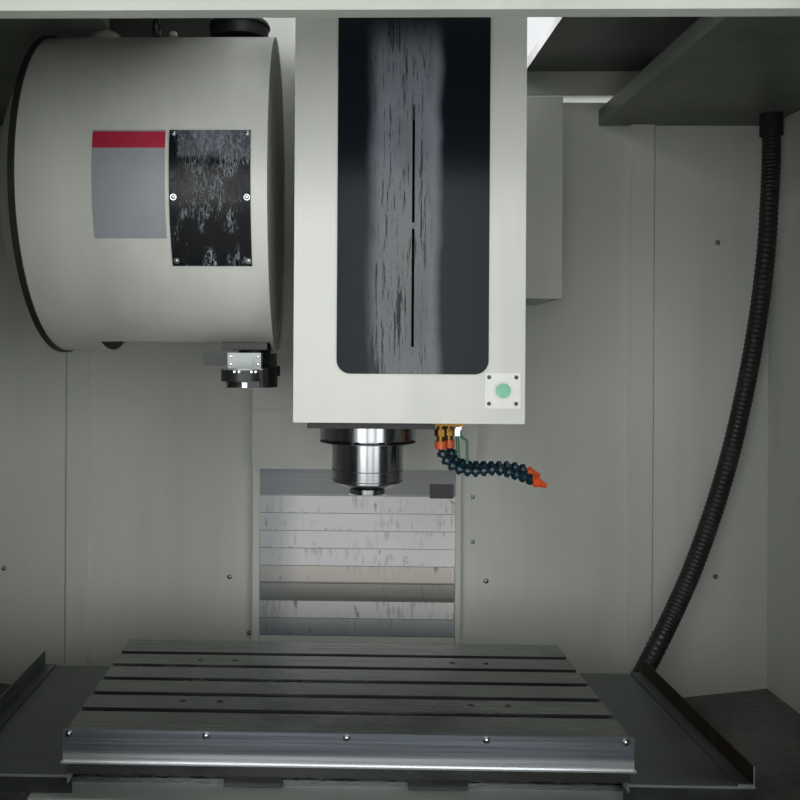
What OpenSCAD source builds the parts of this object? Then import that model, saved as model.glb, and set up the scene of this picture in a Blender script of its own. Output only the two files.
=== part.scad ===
// Vertical machining centre with an arm-type tool changer and a double sliding door.
// The origin is the floor point under the spindle axis. X runs right, Y to the back, Z up.

/* [Travels] */
// Travel of the table along X
x_travel = 800; // [700:10:860]
// Travel of the saddle along Y
y_travel = 500; // [440:10:540]
// Travel of the head along Z
z_travel = 500; // [440:10:560]
// Table centre at rest, from the spindle axis along X
table_rest_x = -48; // [-200:1:200]
// Table centre at rest, from the spindle axis along Y
table_rest_y = -59; // [-120:1:100]
// Height of the head at rest above its lowest place
z_rest = 230; // [180:1:280]
// Distance from the table to the spindle nose with the head at its lowest place
nose_min = 150; // [120:5:200]

/* [Table] */
// Length of the table along X
table_l = 1000; // [860:10:1100]
// Width of the table along Y
table_w = 500; // [440:10:520]
// Thickness of the table
table_t = 80; // [70:1:100]
// Number of T-slots
slot_n = 5; // [3:1:5]
// Distance between two T-slots
slot_pitch = 80; // [70:1:90]
// Width of a T-slot at its mouth
slot_w = 18; // [14:1:22]
// Width of the wide foot of a T-slot
slot_foot_w = 30; // [26:1:36]
// Height of the wide foot of a T-slot
slot_foot_h = 13; // [10:1:16]
// Depth of a T-slot
slot_d = 32; // [28:1:40]
// Height of the apron plate on the table's front
apron_h = 57; // [40:1:70]
// Thickness of the apron plate
apron_t = 4; // [2:0.5:8]

/* [Way covers on the table] */
// Reach of a cover beyond the table's end
cover_reach = 235; // [200:5:260]
// Height of the covers below the table top
cover_drop = 100; // [98:1:101]
// Cover's front edge from the table's centre
cover_front = 214; // [200:1:230]
// Cover's back edge from the table's centre
cover_back = 351; // [330:1:360]
// Height of the raised lip at the outer end of a cover
lip_h = 36; // [20:1:45]
// Thickness of the cover sheet
cover_t = 2; // [1.5:0.5:2.5]

/* [Saddle and guides] */
// Length of the saddle along X
saddle_l = 1250; // [1150:10:1280]
// Width of the saddle along Y
saddle_w = 460; // [430:5:480]
// Thickness of the saddle
saddle_t = 150; // [140:1:170]
// Width of a linear rail
rail_w = 34; // [30:1:40]
// Height of a linear rail
rail_h = 29; // [26:1:32]
// Height of a rail with its block
guide_h = 55; // [52:1:60]
// Length of a rail block
block_l = 110; // [90:5:130]
// Width of a rail block
block_w = 90; // [80:1:100]
// Distance between the two rails under the table
x_rail_pitch = 300; // [260:5:340]
// Distance between the two rails under the saddle
y_rail_pitch = 600; // [520:10:640]
// Distance between the two rails on the column
z_rail_pitch = 380; // [340:10:400]
// Diameter of the ball screws
screw_d = 40; // [32:1:44]
// Diameter of the nuts on the ball screws
nut_d = 70; // [62:1:74]
// Width of the servo motors
motor_w = 120; // [100:5:124]

/* [Bed and column] */
// Width of the bed
bed_w = 900; // [860:10:960]
// Height of the bed at its guide faces
bed_h = 500; // [460:10:540]
// Bed's front face from the spindle axis
bed_front = 580; // [560:10:640]
// Height of the bed above the floor
foot_h = 60; // [50:1:80]
// Distance between the anchor holes along X
anchor_x = 1080; // [1060:10:1140]
// Distance between the anchor holes of the front four feet along Y
anchor_y = 1000; // [900:10:1040]
// Diameter of the anchor holes
anchor_d = 18; // [14:1:22]
// Width of the column
column_w = 610; // [590:5:620]
// Depth of the column at its foot
column_d = 480; // [440:10:560]
// Height of the column's foot above the bed's guide faces
column_step = 80; // [60:5:100]

/* [Head] */
// Diameter of the spindle cartridge
cartridge_d = 150; // [140:1:160]
// Diameter of the cartridge's flange
flange_d = 202; // [190:1:220]
// Length of the spindle from its nose face to the head casting
nose_l = 148; // [140:1:170]
// Diameter of the spindle at its nose face
nose_d = 78; // [70:1:82]
// Gauge diameter of the tool taper
taper_d = 44.45; // [31.75:0.05:57.15]
// Width of the head casting
head_w = 250; // [230:5:260]
// Height of the head casting
head_h = 600; // [560:10:640]
// Left side of the head cover from the spindle axis
hood_left = 147.5; // [140:0.5:160]
// Right side of the head cover from the spindle axis
hood_right = 270; // [260:1:280]
// Front of the head cover from the spindle axis
hood_front = 280; // [260:1:300]
// Height of the head cover
hood_h = 950; // [930:10:1000]
// Thickness of the cover sheets
sheet = 2.5; // [1.5:0.5:3]
// Width of the dark panel on the head cover
panel_w = 273.5; // [240:0.5:300]
// Radius of the dark panel's corners
panel_r = 25; // [10:1:40]
// Width of the slot in the dark panel
panel_slot = 5; // [4.5:0.5:8]
// Diameter of the release button's cap
button_d = 27; // [22:1:30]
// Travel of the release button
button_travel = 3; // [2:0.5:4]

/* [Way cover on the column] */
// Width of the plates
z_cover_w = 550; // [520:5:570]
// Thickness of a plate
z_plate_t = 2; // [1.5:0.5:2]
// Gap between two plates
z_plate_gap = 0.5; // [0.4:0.1:0.8]

/* [Tool changer] */
// Radius of the magazine's drum cover
drum_r = 335; // [325:1:345]
// Left end of the drum cover's rim from the spindle axis
drum_left = 670; // [650:5:690]
// Depth of the drum cover's domed left end
drum_dome = 50; // [30:5:60]
// Right end of the drum cover from the spindle axis
drum_right = 198; // [190:1:210]
// Magazine axis from the spindle axis along Y
drum_y = 60; // [50:1:70]
// Number of tool pots
pot_n = 24; // [16:1:24]
// Diameter of a tool pot
pot_d = 64; // [56:1:66]
// Radius of the circle of tool pots
pot_circle = 275; // [270:1:290]
// Changer arm's axis from the spindle axis along X
arm_x = 244; // [232:1:256]
// Thickness of the changer arm
arm_t = 44; // [36:1:50]

/* [Enclosure] */
// Width of the door opening
door_open_w = 1026; // [980:2:1060]
// Height of the door opening's lower edge
sill_z = 860; // [830:5:880]
// Height of the door opening's upper edge
header_z = 2000; // [1960:5:2040]
// Width of one door
door_w = 560; // [540:5:590]
// Thickness of a door
door_t = 40; // [32:1:46]
// Height of the roof panels
roof_z = 2232; // [2220:1:2260]
// Height of the enclosure
room_top = 2384; // [2370:1:2420]
// Depth of the front frame's sheet box
frame_t = 26; // [20:1:30]
// Front face of the front frame from the spindle axis
frame_front = 780; // [770:5:820]
// Thickness of the double side walls
wall_t = 35; // [25:1:45]
// Inner edge of the ceiling on the left, from the spindle axis
ceiling_l = 300; // [296:1:400]
// Inner edge of the ceiling on the right, from the spindle axis
ceiling_r = 450; // [340:5:600]
// Width of the electrical cabinet
cabinet_w = 920; // [860:10:1000]
// Depth of the electrical cabinet
cabinet_d = 300; // [260:10:340]
// Height of the electrical cabinet's top
cabinet_top = 2120; // [2000:10:2300]
// Length of the coolant tank
tank_l = 1640; // [1500:10:1660]
// Depth of the coolant tank
tank_d = 380; // [340:5:390]
// Height of the coolant tank's body
tank_h = 300; // [260:5:310]
// Width of the box beside the column
side_box_w = 165; // [140:5:180]
// Depth of the box beside the column
side_box_d = 290; // [240:5:320]
// Height of the box beside the column
side_box_h = 511; // [460:1:540]

/* [Hidden] */
$fn = 64;

// Clearances: a running fit, a loose sliding gap, and the overcut of a cutting tool
fit = 0.05;
slide_gap = 0.3;
cut = 1;

// Heights of the stack from the floor to the spindle nose
bed_top = foot_h + bed_h;
saddle_z = bed_top + guide_h;
saddle_top = saddle_z + saddle_t;
table_z = saddle_top + guide_h;
table_top = table_z + table_t;
cover_z = table_top - cover_drop;
nose_z = table_top + nose_min + z_rest;
head_z = nose_z + nose_l;
head_top = head_z + head_h;
hood_z = head_z + 21;
hood_top = hood_z + hood_h;

// Places along Y, from the reach of the table to the column
throat = y_travel / 2 + cover_back + 11;
back_wall_y = throat + 48;
column_y = back_wall_y + 40;
head_back = column_y - guide_h;
headstock_w = z_rail_pitch + block_w + 10;
rear_front = back_wall_y - 190;
rear_back = back_wall_y - 30;
bed_back = column_y + column_d;

// The room around the table
room_x = x_travel / 2 + table_l / 2 + cover_reach + 30;
room_front = frame_front - frame_t;
outer_x = room_x + wall_t;

// Column way cover: a fixed lowest plate, moving plates, and the top plate on the head
z_cover_top = nose_z - 52;
z_cover_bottom = table_top - 123;
z_cover_n = 9;
z_step = (z_cover_top - z_cover_bottom) / z_cover_n;
z_plate_h = z_step + (z_travel - z_rest) / (z_cover_n - 1) + 20;

// Tool changer
arm_z = table_top + nose_min + z_travel - arm_t - 4;
drum_z = arm_z + 412;
arm_y = drum_y / 2;
arm_reach = norm([arm_x, arm_y]);
shaft_d = 44;
gear_x1 = drum_right + 14;
motor_x = gear_x1 + 70;
stem_d = 2 * (column_w / 2 - motor_x - 1);
disc_x = 400;

module slab(a, b) translate(a) cube(b - a);
module rod(d, h) cylinder(d = d, h = h);
module along_x(p) translate(p) rotate([0, 90, 0]) children();
module along_y(p) translate(p) rotate([-90, 0, 0]) children();
module pair_x(x) {
    translate([x, 0, 0]) children();
    translate([-x, 0, 0]) mirror([1, 0, 0]) children();
}

// Section of a linear rail: a waisted bar standing on the XY plane, its length along X
module rail(l) {
    waist = rail_w * 0.12;
    rotate([90, 0, 90]) linear_extrude(l) polygon([
        [-rail_w / 2, 0], [rail_w / 2, 0], [rail_w / 2, rail_h * 0.35],
        [rail_w / 2 - waist, rail_h * 0.5], [rail_w / 2, rail_h * 0.7], [rail_w / 2, rail_h],
        [-rail_w / 2, rail_h], [-rail_w / 2, rail_h * 0.7], [-rail_w / 2 + waist, rail_h * 0.5],
        [-rail_w / 2, rail_h * 0.35]]);
}

// A block that rides on the rail, centred on the origin along X, its mounting face at guide_h
module rail_block() {
    foot = rail_h * 0.3;
    difference() {
        slab([-block_l / 2, -block_w / 2, foot], [block_l / 2, block_w / 2, guide_h]);
        translate([-block_l / 2 - cut, -rail_w / 2 - slide_gap, 0])
            cube([block_l + 2 * cut, rail_w + 2 * slide_gap, rail_h + slide_gap]);
    }
}

// A ball nut with its housing block: the screw's axis along X, the block reaches up to z
module ball_nut(z) {
    difference() {
        union() {
            along_x([-60, 0, 0]) rod(nut_d, 120);
            slab([-45, -nut_d / 2, 0], [45, nut_d / 2, z]);
        }
        along_x([-60 - cut, 0, 0]) rod(screw_d + 2 * slide_gap, 120 + 2 * cut);
    }
}

// A square servo motor on its flange, the shaft's end at the origin, its length along X
module servo_motor(l) {
    flange = motor_w / 10;
    slab([0, -motor_w / 2, -motor_w / 2], [flange, motor_w / 2, motor_w / 2]);
    along_x([flange, 0, 0]) rod(motor_w * 0.94, l - flange - 50);
    slab([l - 50, -motor_w * 0.45, -motor_w * 0.45], [l, motor_w * 0.45, motor_w * 0.45]);
    slab([l - 120, -20, motor_w * 0.4], [l - 80, 20, motor_w / 2]);
}

// A bearing block for a screw's end: the axis along X at the origin, standing on the plane at z
module end_block(z, top, w) {
    difference() {
        slab([0, -w / 2, z], [40, w / 2, top]);
        along_x([-cut, 0, 0]) rod(screw_d * 0.6 + 2 * slide_gap, 40 + 2 * cut);
    }
}

// A ball screw with turned-down journals, its length along X from the origin
module ball_screw(l) {
    along_x([0, 0, 0]) {
        rod(screw_d * 0.6, l);
        translate([0, 0, 60]) rod(screw_d, l - 120);
    }
}

y_rail_l = y_travel + saddle_w;
y_screw_z = bed_top + 15;
y_screw_front = bed_front - 10;
x_screw_z = saddle_top - 30;
z_rail_z0 = head_z - z_rest - 20;
z_rail_z1 = head_top + z_travel - z_rest + 40;
column_z = bed_top + column_step;
column_top = z_rail_z1 + 60;
z_screw_y = column_y;

module bed() color("#c9cec8") {
    difference() {
        translate([-bed_w / 2, 0, 0]) rotate([90, 0, 90]) linear_extrude(bed_w) polygon([
            [-bed_front, foot_h], [bed_back, foot_h], [bed_back, column_z], [column_y - 10, column_z],
            [column_y - 60, bed_top], [-bed_front, bed_top]]);
        // The channel for the Y screw and nut
        slab([-motor_w / 2 - 5, -bed_front - cut, bed_top - 75], [motor_w / 2 + 5, column_y - 120, bed_top + cut]);
        // The open underside
        slab([-bed_w / 2 + 60, -bed_front + 60, foot_h - cut], [bed_w / 2 - 60, bed_back - 60, bed_top - 150]);
    }
}

// Six feet: a floor plate with its anchor hole, the levelling screw, and the bracket on the bed's side
module levelling_feet() color("#50565a") {
    plate_t = 20;
    lug_t = 50;
    for (y = [-anchor_y / 2, anchor_y / 2, bed_back - 100]) translate([0, y, 0]) pair_x(bed_w / 2) {
        difference() {
            slab([-30, -55, 0], [anchor_x / 2 - bed_w / 2 + 40, 55, plate_t]);
            translate([(anchor_x - bed_w) / 2, 0, -cut]) rod(anchor_d, plate_t + 2 * cut);
        }
        translate([40, 0, plate_t]) {
            rod(24, foot_h + lug_t + 25 - plate_t);
            rod(56, foot_h - plate_t);
        }
        slab([0, -60, foot_h], [80, 60, foot_h + lug_t]);
        translate([40, 0, foot_h + lug_t]) cylinder(d = 40, h = 18, $fn = 6);
    }
}

module column() color("#c9cec8") {
    depth = column_d;
    difference() {
        translate([-column_w / 2, 0, 0]) rotate([90, 0, 90]) linear_extrude(column_w) polygon([
            [column_y, column_z], [column_y + depth, column_z], [column_y + depth, column_z + 260],
            [column_y + depth - 130, column_z + 900], [column_y + depth - 160, column_top],
            [column_y, column_top]]);
        // The channel for the Z screw and nut
        slab([-75, column_y - cut, column_z + 60], [75, column_y + 60, column_top + cut]);
        // The hollow core, open to the back
        slab([-column_w / 2 + 50, column_y + 110, column_z + 320],
            [column_w / 2 - 50, column_y + depth + cut, column_top - 90]);
    }
}

module z_end_block(z0, z1) difference() {
    slab([-74, z_screw_y - 30, z0], [74, z_screw_y + 60, z1]);
    translate([0, z_screw_y, z0 - cut]) rod(screw_d * 0.6 + 2 * slide_gap, z1 - z0 + 2 * cut);
}

module rails_and_motors() color("#8d9296") {
    for (s = [-1, 1]) {
        translate([s * y_rail_pitch / 2, -y_rail_l / 2, bed_top]) rotate([0, 0, 90]) rail(y_rail_l);
        translate([s * z_rail_pitch / 2, column_y, z_rail_z1]) rotate([0, 90, 0]) rotate([90, 0, 0])
            rail(z_rail_z1 - z_rail_z0);
    }
    // Y motor, its bracket on the bed's front, and the bearing at the screw's far end
    translate([0, -bed_front, y_screw_z]) rotate([0, 0, -90]) {
        difference() {
            slab([0, -motor_w / 2, -motor_w / 2], [30, motor_w / 2, motor_w / 2]);
            along_x([-cut, 0, 0]) rod(screw_d * 0.6 + 2 * slide_gap, 20 + cut);
        }
        translate([30, 0, 0]) servo_motor(120);
    }
    translate([0, y_rail_l / 2, y_screw_z]) rotate([0, 0, 90])
        end_block(bed_top - 75 - y_screw_z, 35, motor_w);
    // Z motor over the column's head, with the two screw bearings in the column's channel
    z_end_block(z_rail_z0 - 60, z_rail_z0 - 10);
    z_end_block(column_top - 44, column_top);
    difference() {
        slab([-100, column_y - 60, column_top], [100, column_y + 120, column_top + 30]);
        translate([0, z_screw_y, column_top - cut]) rod(screw_d * 0.6 + 2 * slide_gap, 20 + cut);
    }
    translate([0, z_screw_y, column_top + 30]) rotate([0, -90, 0]) servo_motor(230);
}

module y_screw() color("#b9bdc0")
    translate([0, -bed_front - 15, y_screw_z]) rotate([0, 0, 90]) ball_screw(bed_front + y_rail_l / 2 + 55);

module z_screw() color("#b9bdc0")
    translate([0, z_screw_y, column_top + 15]) rotate([0, 90, 0]) ball_screw(column_top + 15 - z_rail_z0 + 60);

// Floor of the room: two sloping pans and the trough in front of the bed
module chip_pans() color("#a9b0ae") {
    low = bed_top - 15;
    high = low + 86;
    for (s = [0, 1]) mirror([s, 0, 0]) {
        translate([0, back_wall_y, 0]) rotate([90, 0, 0]) linear_extrude(back_wall_y + bed_front) polygon([
            [bed_w / 2, low], [room_x - 60, high - 8], [room_x, high], [room_x, high + 3],
            [room_x - 62, high - 5], [bed_w / 2, low + 3]]);
    }
    difference() {
        slab([-room_x, -room_front, foot_h + 330], [room_x, -bed_front, low + 3]);
        slab([-room_x + 3, -room_front + 3, foot_h + 333], [room_x - 3, -bed_front - 3, low + 3 + cut]);
        slab([-motor_w / 2 - 10, -bed_front - 4, bed_top - 75], [motor_w / 2 + 10, -bed_front + cut, low + 4]);
        slab([-300, -room_front + 60, foot_h + 329], [300, -bed_front - 40, foot_h + 334]);
    }
}

tank_z = 40;
tank_top = tank_z + tank_h;

module coolant_tank() color("#b4bab8") {
    half = tank_l / 2;
    front = -bed_front - tank_d;
    difference() {
        slab([-half, front, tank_z], [half, -bed_front, tank_top]);
        slab([-half + 3, front + 3, tank_z + 3], [half - 3, -bed_front - 3, tank_top + cut]);
    }
    // Lid in two halves round the catch opening under the trough
    pair_x(320) slab([0, front, tank_top], [half - 320, -bed_front, tank_top + 3]);
    for (x = [60 - half, half - 60], y = [front + 60, -bed_front - 60]) translate([x, y, 0]) {
        along_y([0, -12, 15]) rod(30, 24);
        slab([-18, -18, 25], [18, 18, tank_z]);
    }
    // Pump with its motor, on the lid's right end
    translate([half - 80, front + 80, tank_top + 3]) {
        rod(150, 12);
        rod(118, 190);
        translate([0, 0, 190]) rod(126, 26);
    }
}

module wall_notch() slab([-column_w / 2 - 45, back_wall_y - 40, drum_z - 235], [-280, back_wall_y + 20, drum_z + 215]);

// Height of the bed's step under the back wall
wall_seat = bed_top + (back_wall_y + sheet - column_y + 60) / 50 * column_step + 0.5;

// Back wall: panels beside the column's opening, pressed pilaster strips, and the cross beam on top
module back_wall() color("#d6dad4") {
    top = roof_z + 66;
    opening_l = 290;
    opening_r = 320;
    difference() {
        union() {
            slab([-room_x, back_wall_y, bed_top - 15], [-opening_l, back_wall_y + sheet, top]);
            slab([opening_r, back_wall_y, bed_top - 15], [room_x, back_wall_y + sheet, top]);
            // Pressed strips that stiffen the panels
            for (s = [-1, 1]) translate([s * 805, back_wall_y, bed_top + 90]) linear_extrude(roof_z - bed_top - 90)
                polygon([[-38, 0], [-30, -14], [30, -14], [38, 0]]);
        }
        wall_notch();
        // Cut-out over the bed, up to its step
        slab([-bed_w / 2 - slide_gap, back_wall_y - cut, bed_top - 15 - cut],
            [bed_w / 2 + slide_gap, back_wall_y + sheet + cut, wall_seat]);
    }
    difference() {
        slab([-room_x, back_wall_y - 20, top + 14], [-opening_l - 30, back_wall_y + 60, room_top]);
        slab([-room_x - cut, back_wall_y - 17, top + 17], [-opening_l - 27, back_wall_y + 60 + cut, room_top - 3]);
    }
    difference() {
        slab([opening_r + 10, back_wall_y - 20, top + 14], [room_x, back_wall_y + 60, room_top]);
        slab([opening_r + 7, back_wall_y - 17, top + 17], [room_x + cut, back_wall_y + 60 + cut, room_top - 3]);
    }
    // Sill under the column's way cover, in front of the bed's step
    sill_y = throat + (z_cover_n - 1) * (z_plate_t + z_plate_gap);
    slab([-opening_l, sill_y, bed_top], [opening_r, sill_y + 5, z_cover_bottom]);
    slab([-opening_l, sill_y, column_z + 5], [opening_r, back_wall_y + sheet, z_cover_bottom]);
    // Side guides of the way cover's plates
    guide_x = z_cover_w / 2 + slide_gap;
    guide_top = z_cover_top + z_travel - z_rest + 45;
    slab([-opening_l - 5, throat - 3, z_cover_bottom - 20], [-guide_x, back_wall_y + sheet, guide_top]);
    slab([guide_x, throat - 3, z_cover_bottom - 20], [opening_l, back_wall_y + sheet, guide_top]);
    slab([opening_l - 5, back_wall_y - 3, z_cover_bottom - 20], [opening_r + 5, back_wall_y + sheet, guide_top]);
    // Side plates that close the opening back to the column
    slab([-opening_l - 3, back_wall_y + sheet, bed_top + 100], [-opening_l, column_y, drum_z - 240]);
    slab([opening_r, back_wall_y + sheet, bed_top + 100], [opening_r + 3, column_y + 20, top]);
}

module side_walls() color("#d6dad4") pair_x(room_x) difference() {
    slab([0, -room_front, 140], [wall_t, back_wall_y + 60, room_top]);
    slab([sheet, -room_front + 40, 140 - cut], [wall_t - sheet, back_wall_y + 20, room_top - 40]);
}

// Roof: a folded panel on each side with a notch round the drum, and the ceiling above, open over the head
module roof_panels() color("#cfd4ce") {
    inner_l = 535;
    inner_r = 682;
    difference() {
        union() {
            slab([-room_x, -room_front, roof_z], [-inner_l, back_wall_y, roof_z + 2]);
            slab([-inner_l - 2, -room_front, roof_z], [-inner_l, back_wall_y, roof_z + 45]);
        }
        slab([-drum_left - 40, drum_y - drum_r * 0.45, roof_z - cut], [-inner_l + cut, drum_y + drum_r * 0.45, roof_z + 50]);
    }
    slab([inner_r, -room_front, roof_z], [room_x, back_wall_y, roof_z + 2]);
    slab([inner_r, -room_front, roof_z], [inner_r + 2, back_wall_y, roof_z + 45]);
    for (side = [[-1, ceiling_l], [1, ceiling_r]]) scale([side[0], 1, 1]) {
        slab([side[1], -room_front, room_top - 3], [room_x, back_wall_y - 20, room_top]);
        slab([side[1], -room_front, room_top - 30], [side[1] + 3, back_wall_y - 20, room_top]);
    }
}

track_y0 = frame_front;
track_y1 = frame_front + 70;
door_y = frame_front + 25 + door_t / 2;

module front_frame() color("#d6dad4") {
    half = door_open_w / 2;
    difference() {
        slab([-outer_x, -frame_front, 140], [outer_x, -room_front, room_top]);
        slab([-half, -frame_front - cut, sill_z], [half, -room_front + cut, header_z]);
        // Recess over the coolant tank
        slab([-tank_l / 2 - 20, -frame_front - cut, 140 - cut],
            [tank_l / 2 + 20, -room_front + cut, tank_top + 40]);
        // Folded sheet: hollow behind, with the front skin and all edges left
        for (s = [0, 1]) mirror([s, 0, 0])
            slab([half + 30, -frame_front + 3, tank_top + 43], [outer_x - 3, -room_front - 3, room_top - 3]);
    }
    // Arm that carries the operator panel
    difference() {
        slab([pendant_x - 32, pendant_y - 32, header_z + 80], [pendant_x + 32, -frame_front, header_z + 140]);
        translate([pendant_x, pendant_y, header_z + 80 - cut]) rod(50 + 2 * fit, 42);
    }
    // Door tracks over and under the opening, each with the groove that the door's tongue runs in
    difference() {
        slab([-outer_x + 30, -track_y1, header_z + 35], [outer_x - 30, -track_y0, header_z + 75]);
        slab([-outer_x + 50, -door_y - 6, header_z + 35 - cut], [outer_x - 50, -door_y + 6, header_z + 60]);
    }
    difference() {
        slab([-outer_x + 30, -track_y1, sill_z - 65], [outer_x - 30, -track_y0, sill_z - 35]);
        slab([-outer_x + 50, -door_y - 6, sill_z - 50], [outer_x - 50, -door_y + 6, sill_z - 35 + cut]);
    }
}

// A box of sheet metal beside the column, over the right of the back wall
module column_side_box() color("#dde0da") translate([340, back_wall_y - side_box_d, roof_z - 2 - side_box_h])
    difference() {
        cube([side_box_w, side_box_d, side_box_h]);
        translate([sheet, sheet, sheet]) cube([side_box_w - 2 * sheet, side_box_d, side_box_h - 2 * sheet]);
    }

// Conduit from the roof to the saddle, along points chosen by hand
conduit_d = 48;
conduit_points = [[1110, 540, 2200], [1110, 540, 2110], [1105, 538, 2000], [1094, 532, 1860],
    [1075, 524, 1720], [1050, 512, 1590], [1018, 496, 1460], [981, 474, 1340], [936, 448, 1220],
    [887, 420, 1110], [836, 392, 1010], [782, 364, 920], [736, 342, 848], [704, 328, 800],
    [686, 322, 770], [684, 322, 740]];

function ring(p, q, r, n) =
    let (d = (q - p) / norm(q - p), u = cross(d, [0, 1, 0]) / norm(cross(d, [0, 1, 0])), v = cross(d, u))
    [for (i = [0 : n - 1]) p + r * (cos(360 * i / n) * u + sin(360 * i / n) * v)];

// A tube swept along points: one ring at each point, square to the way past it
module tube(points, d, n) {
    m = len(points);
    rings = [for (i = [0 : m - 1]) let (a = points[max(i - 1, 0)], b = points[min(i + 1, m - 1)])
        ring(points[i], points[i] + (b - a), d / 2, n)];
    polyhedron([for (r = rings) each r], [
        [for (i = [0 : n - 1]) i],
        [for (i = [n - 1 : -1 : 0]) (m - 1) * n + i],
        for (k = [0 : m - 2], i = [0 : n - 1])
            [k * n + i, (k + 1) * n + i, (k + 1) * n + (i + 1) % n, k * n + (i + 1) % n]]);
}

module cable_conduit() color("#1d1f21") tube(conduit_points, conduit_d, 12);

module conduit_gland() color("#2a2c2e") difference() {
    translate(conduit_points[0] - [0, 0, 26]) {
        rod(58, roof_z - conduit_points[0][2] + 26);
        translate([0, 0, 14]) cylinder(d = 62, h = 18, $fn = 6);
    }
    translate(conduit_points[0] - [0, 0, 26 + cut]) rod(conduit_d + 2 * slide_gap, 26 + cut);
    translate(conduit_points[0]) rod(conduit_d - 6, 60);
}

// Hinge of the cabinet's door: three barrels on a pin, beside the cabinet's left rear corner
hinge_d = 16;
hinge_pin_d = 8;
hinge_x = -cabinet_w / 2 - hinge_d / 2 - slide_gap;
hinge_y = bed_back + cabinet_d;
cabinet_z = foot_h + 60;
hinge_places = [cabinet_z + 160, (cabinet_z + cabinet_top) / 2, cabinet_top - 240];

module electrical_cabinet() color("#cdd1cb") {
    y0 = bed_back;
    half = cabinet_w / 2;
    difference() {
        slab([-half, y0, cabinet_z], [half, y0 + cabinet_d, cabinet_top]);
        slab([-half + 3, y0 + 3, cabinet_z + 3], [half - 3, y0 + cabinet_d + cut, cabinet_top - 3]);
    }
    for (z = hinge_places) {
        translate([hinge_x, hinge_y, z]) rod(hinge_d, 40);
        translate([hinge_x, hinge_y, z]) rod(hinge_pin_d, 78);
        slab([hinge_x + hinge_d / 2 - 3, hinge_y - 34, z], [-half, hinge_y, z + 40]);
    }
    // Mounting plate with the drive units inside
    slab([-half + 20, y0 + 20, cabinet_z + 40], [half - 20, y0 + 23, cabinet_top - 80]);
    pair_x(half - 40) slab([0, y0 + 3, cabinet_z + 40], [20, y0 + 20, cabinet_top - 80]);
    for (i = [0 : 5]) translate([-half + 80 + i * 110, y0 + 23, cabinet_top - 740]) cube([90, 167, 380]);
    for (z = [1560, 1320, 1080]) translate([-half + 80, y0 + 23, cabinet_top - z]) cube([cabinet_w - 200, 87, 110]);
}

module cabinet_door() color("#cdd1cb") {
    y1 = hinge_y + slide_gap;
    half = cabinet_w / 2 - 2;
    difference() {
        slab([-half, y1, cabinet_z + 2], [half, y1 + 22, cabinet_top - 2]);
        slab([-half + 3, y1 - cut, cabinet_z + 5], [half - 3, y1 + 19, cabinet_top - 5]);
    }
    pair_x(half - 18) slab([0, y1, cabinet_z + 5], [15, y1 + 19, cabinet_top - 5]);
    // The door's barrels on the pins, each with its leaf
    for (z = hinge_places) difference() {
        union() {
            translate([hinge_x, hinge_y, z + 40 + slide_gap]) rod(hinge_d, 40 - slide_gap);
            slab([hinge_x, y1 + 1, z + 40 + slide_gap], [-half + 3, y1 + 4, z + 80]);
        }
        translate([hinge_x, hinge_y, z + 40]) rod(hinge_pin_d + 2 * fit, 40 + cut);
    }
    // Turning handle
    translate([half - 43, y1 + 22, 1150]) {
        slab([-14, 0, -60], [14, 6, 60]);
        slab([-9, 6, -8], [9, 30, 48]);
    }
}

// Cast plate from the column's side to the changer, through the wall's notch and the drum's back
module magazine_bracket() color("#c2c7c1") {
    x0 = -column_w / 2 - 35;
    x1 = -column_w / 2;
    difference() {
        translate([x0, 0, 0]) rotate([90, 0, 90]) linear_extrude(x1 - x0) polygon([
            [drum_y - 110, drum_z - 180], [column_y + 60, drum_z - 210], [column_y + 60, drum_z + 190],
            [drum_y - 110, drum_z + 120]]);
        translate([x0 - cut, (drum_y + column_y) / 2, drum_z]) rotate([0, 90, 0]) rod(150, 60);
    }
    // Axle of the magazine disc
    along_x([-disc_x - 26, drum_y, drum_z]) rod(50, disc_x + 26 + x0);
    along_x([-disc_x - 26, drum_y, drum_z]) rod(90, 14 - slide_gap);
    along_x([-disc_x + 12 + slide_gap, drum_y, drum_z]) rod(120, disc_x - 12 - slide_gap + x0);
}

// Drum cover: a rolled shell with end plates, open below for the arm and the swung pot
module drum_cover() color("#e4e6e0") difference() {
    union() {
        along_x([-drum_left, drum_y, drum_z]) rod(2 * drum_r, drum_left - drum_right);
        along_x([-drum_left - drum_dome, drum_y, drum_z])
            cylinder(d1 = 2 * drum_r - 160, d2 = 2 * drum_r - 30, h = drum_dome);
    }
    along_x([-drum_left + sheet, drum_y, drum_z]) rod(2 * (drum_r - sheet), drum_left - drum_right - 2 * sheet);
    along_x([-drum_left - drum_dome + sheet, drum_y, drum_z])
        cylinder(d1 = 2 * drum_r - 166, d2 = 2 * drum_r - 36, h = drum_dome + cut);
    // Shallow recess in the right end
    along_x([-drum_right - 1.2, drum_y, drum_z]) rod(2 * drum_r - 60, 3);
    // Opening below
    slab([-560, drum_y - 110, drum_z - drum_r - 5], [-drum_right - 8, drum_y + 125, drum_z - drum_r + 70]);
    // Slot in the back for the bracket
    slab([-column_w / 2 - 35 - 5, drum_y + 120, drum_z - 225], [-column_w / 2 + 5, drum_y + drum_r + 5, drum_z + 205]);
    // Hole in the top for the changer's motor
    translate([-motor_x, drum_y - 20, drum_z]) rod(stem_d + 12, drum_r + 5);
}

module drum_rim_seal() color("#16181a") difference() {
    along_x([-drum_left - 3, drum_y, drum_z]) rod(2 * drum_r + 8, 12);
    along_x([-drum_left - 3 - cut, drum_y, drum_z]) rod(2 * drum_r + 2 * fit, 12 + 2 * cut);
}

window_x = -drum_right - 179;
window_w = 149;

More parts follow.
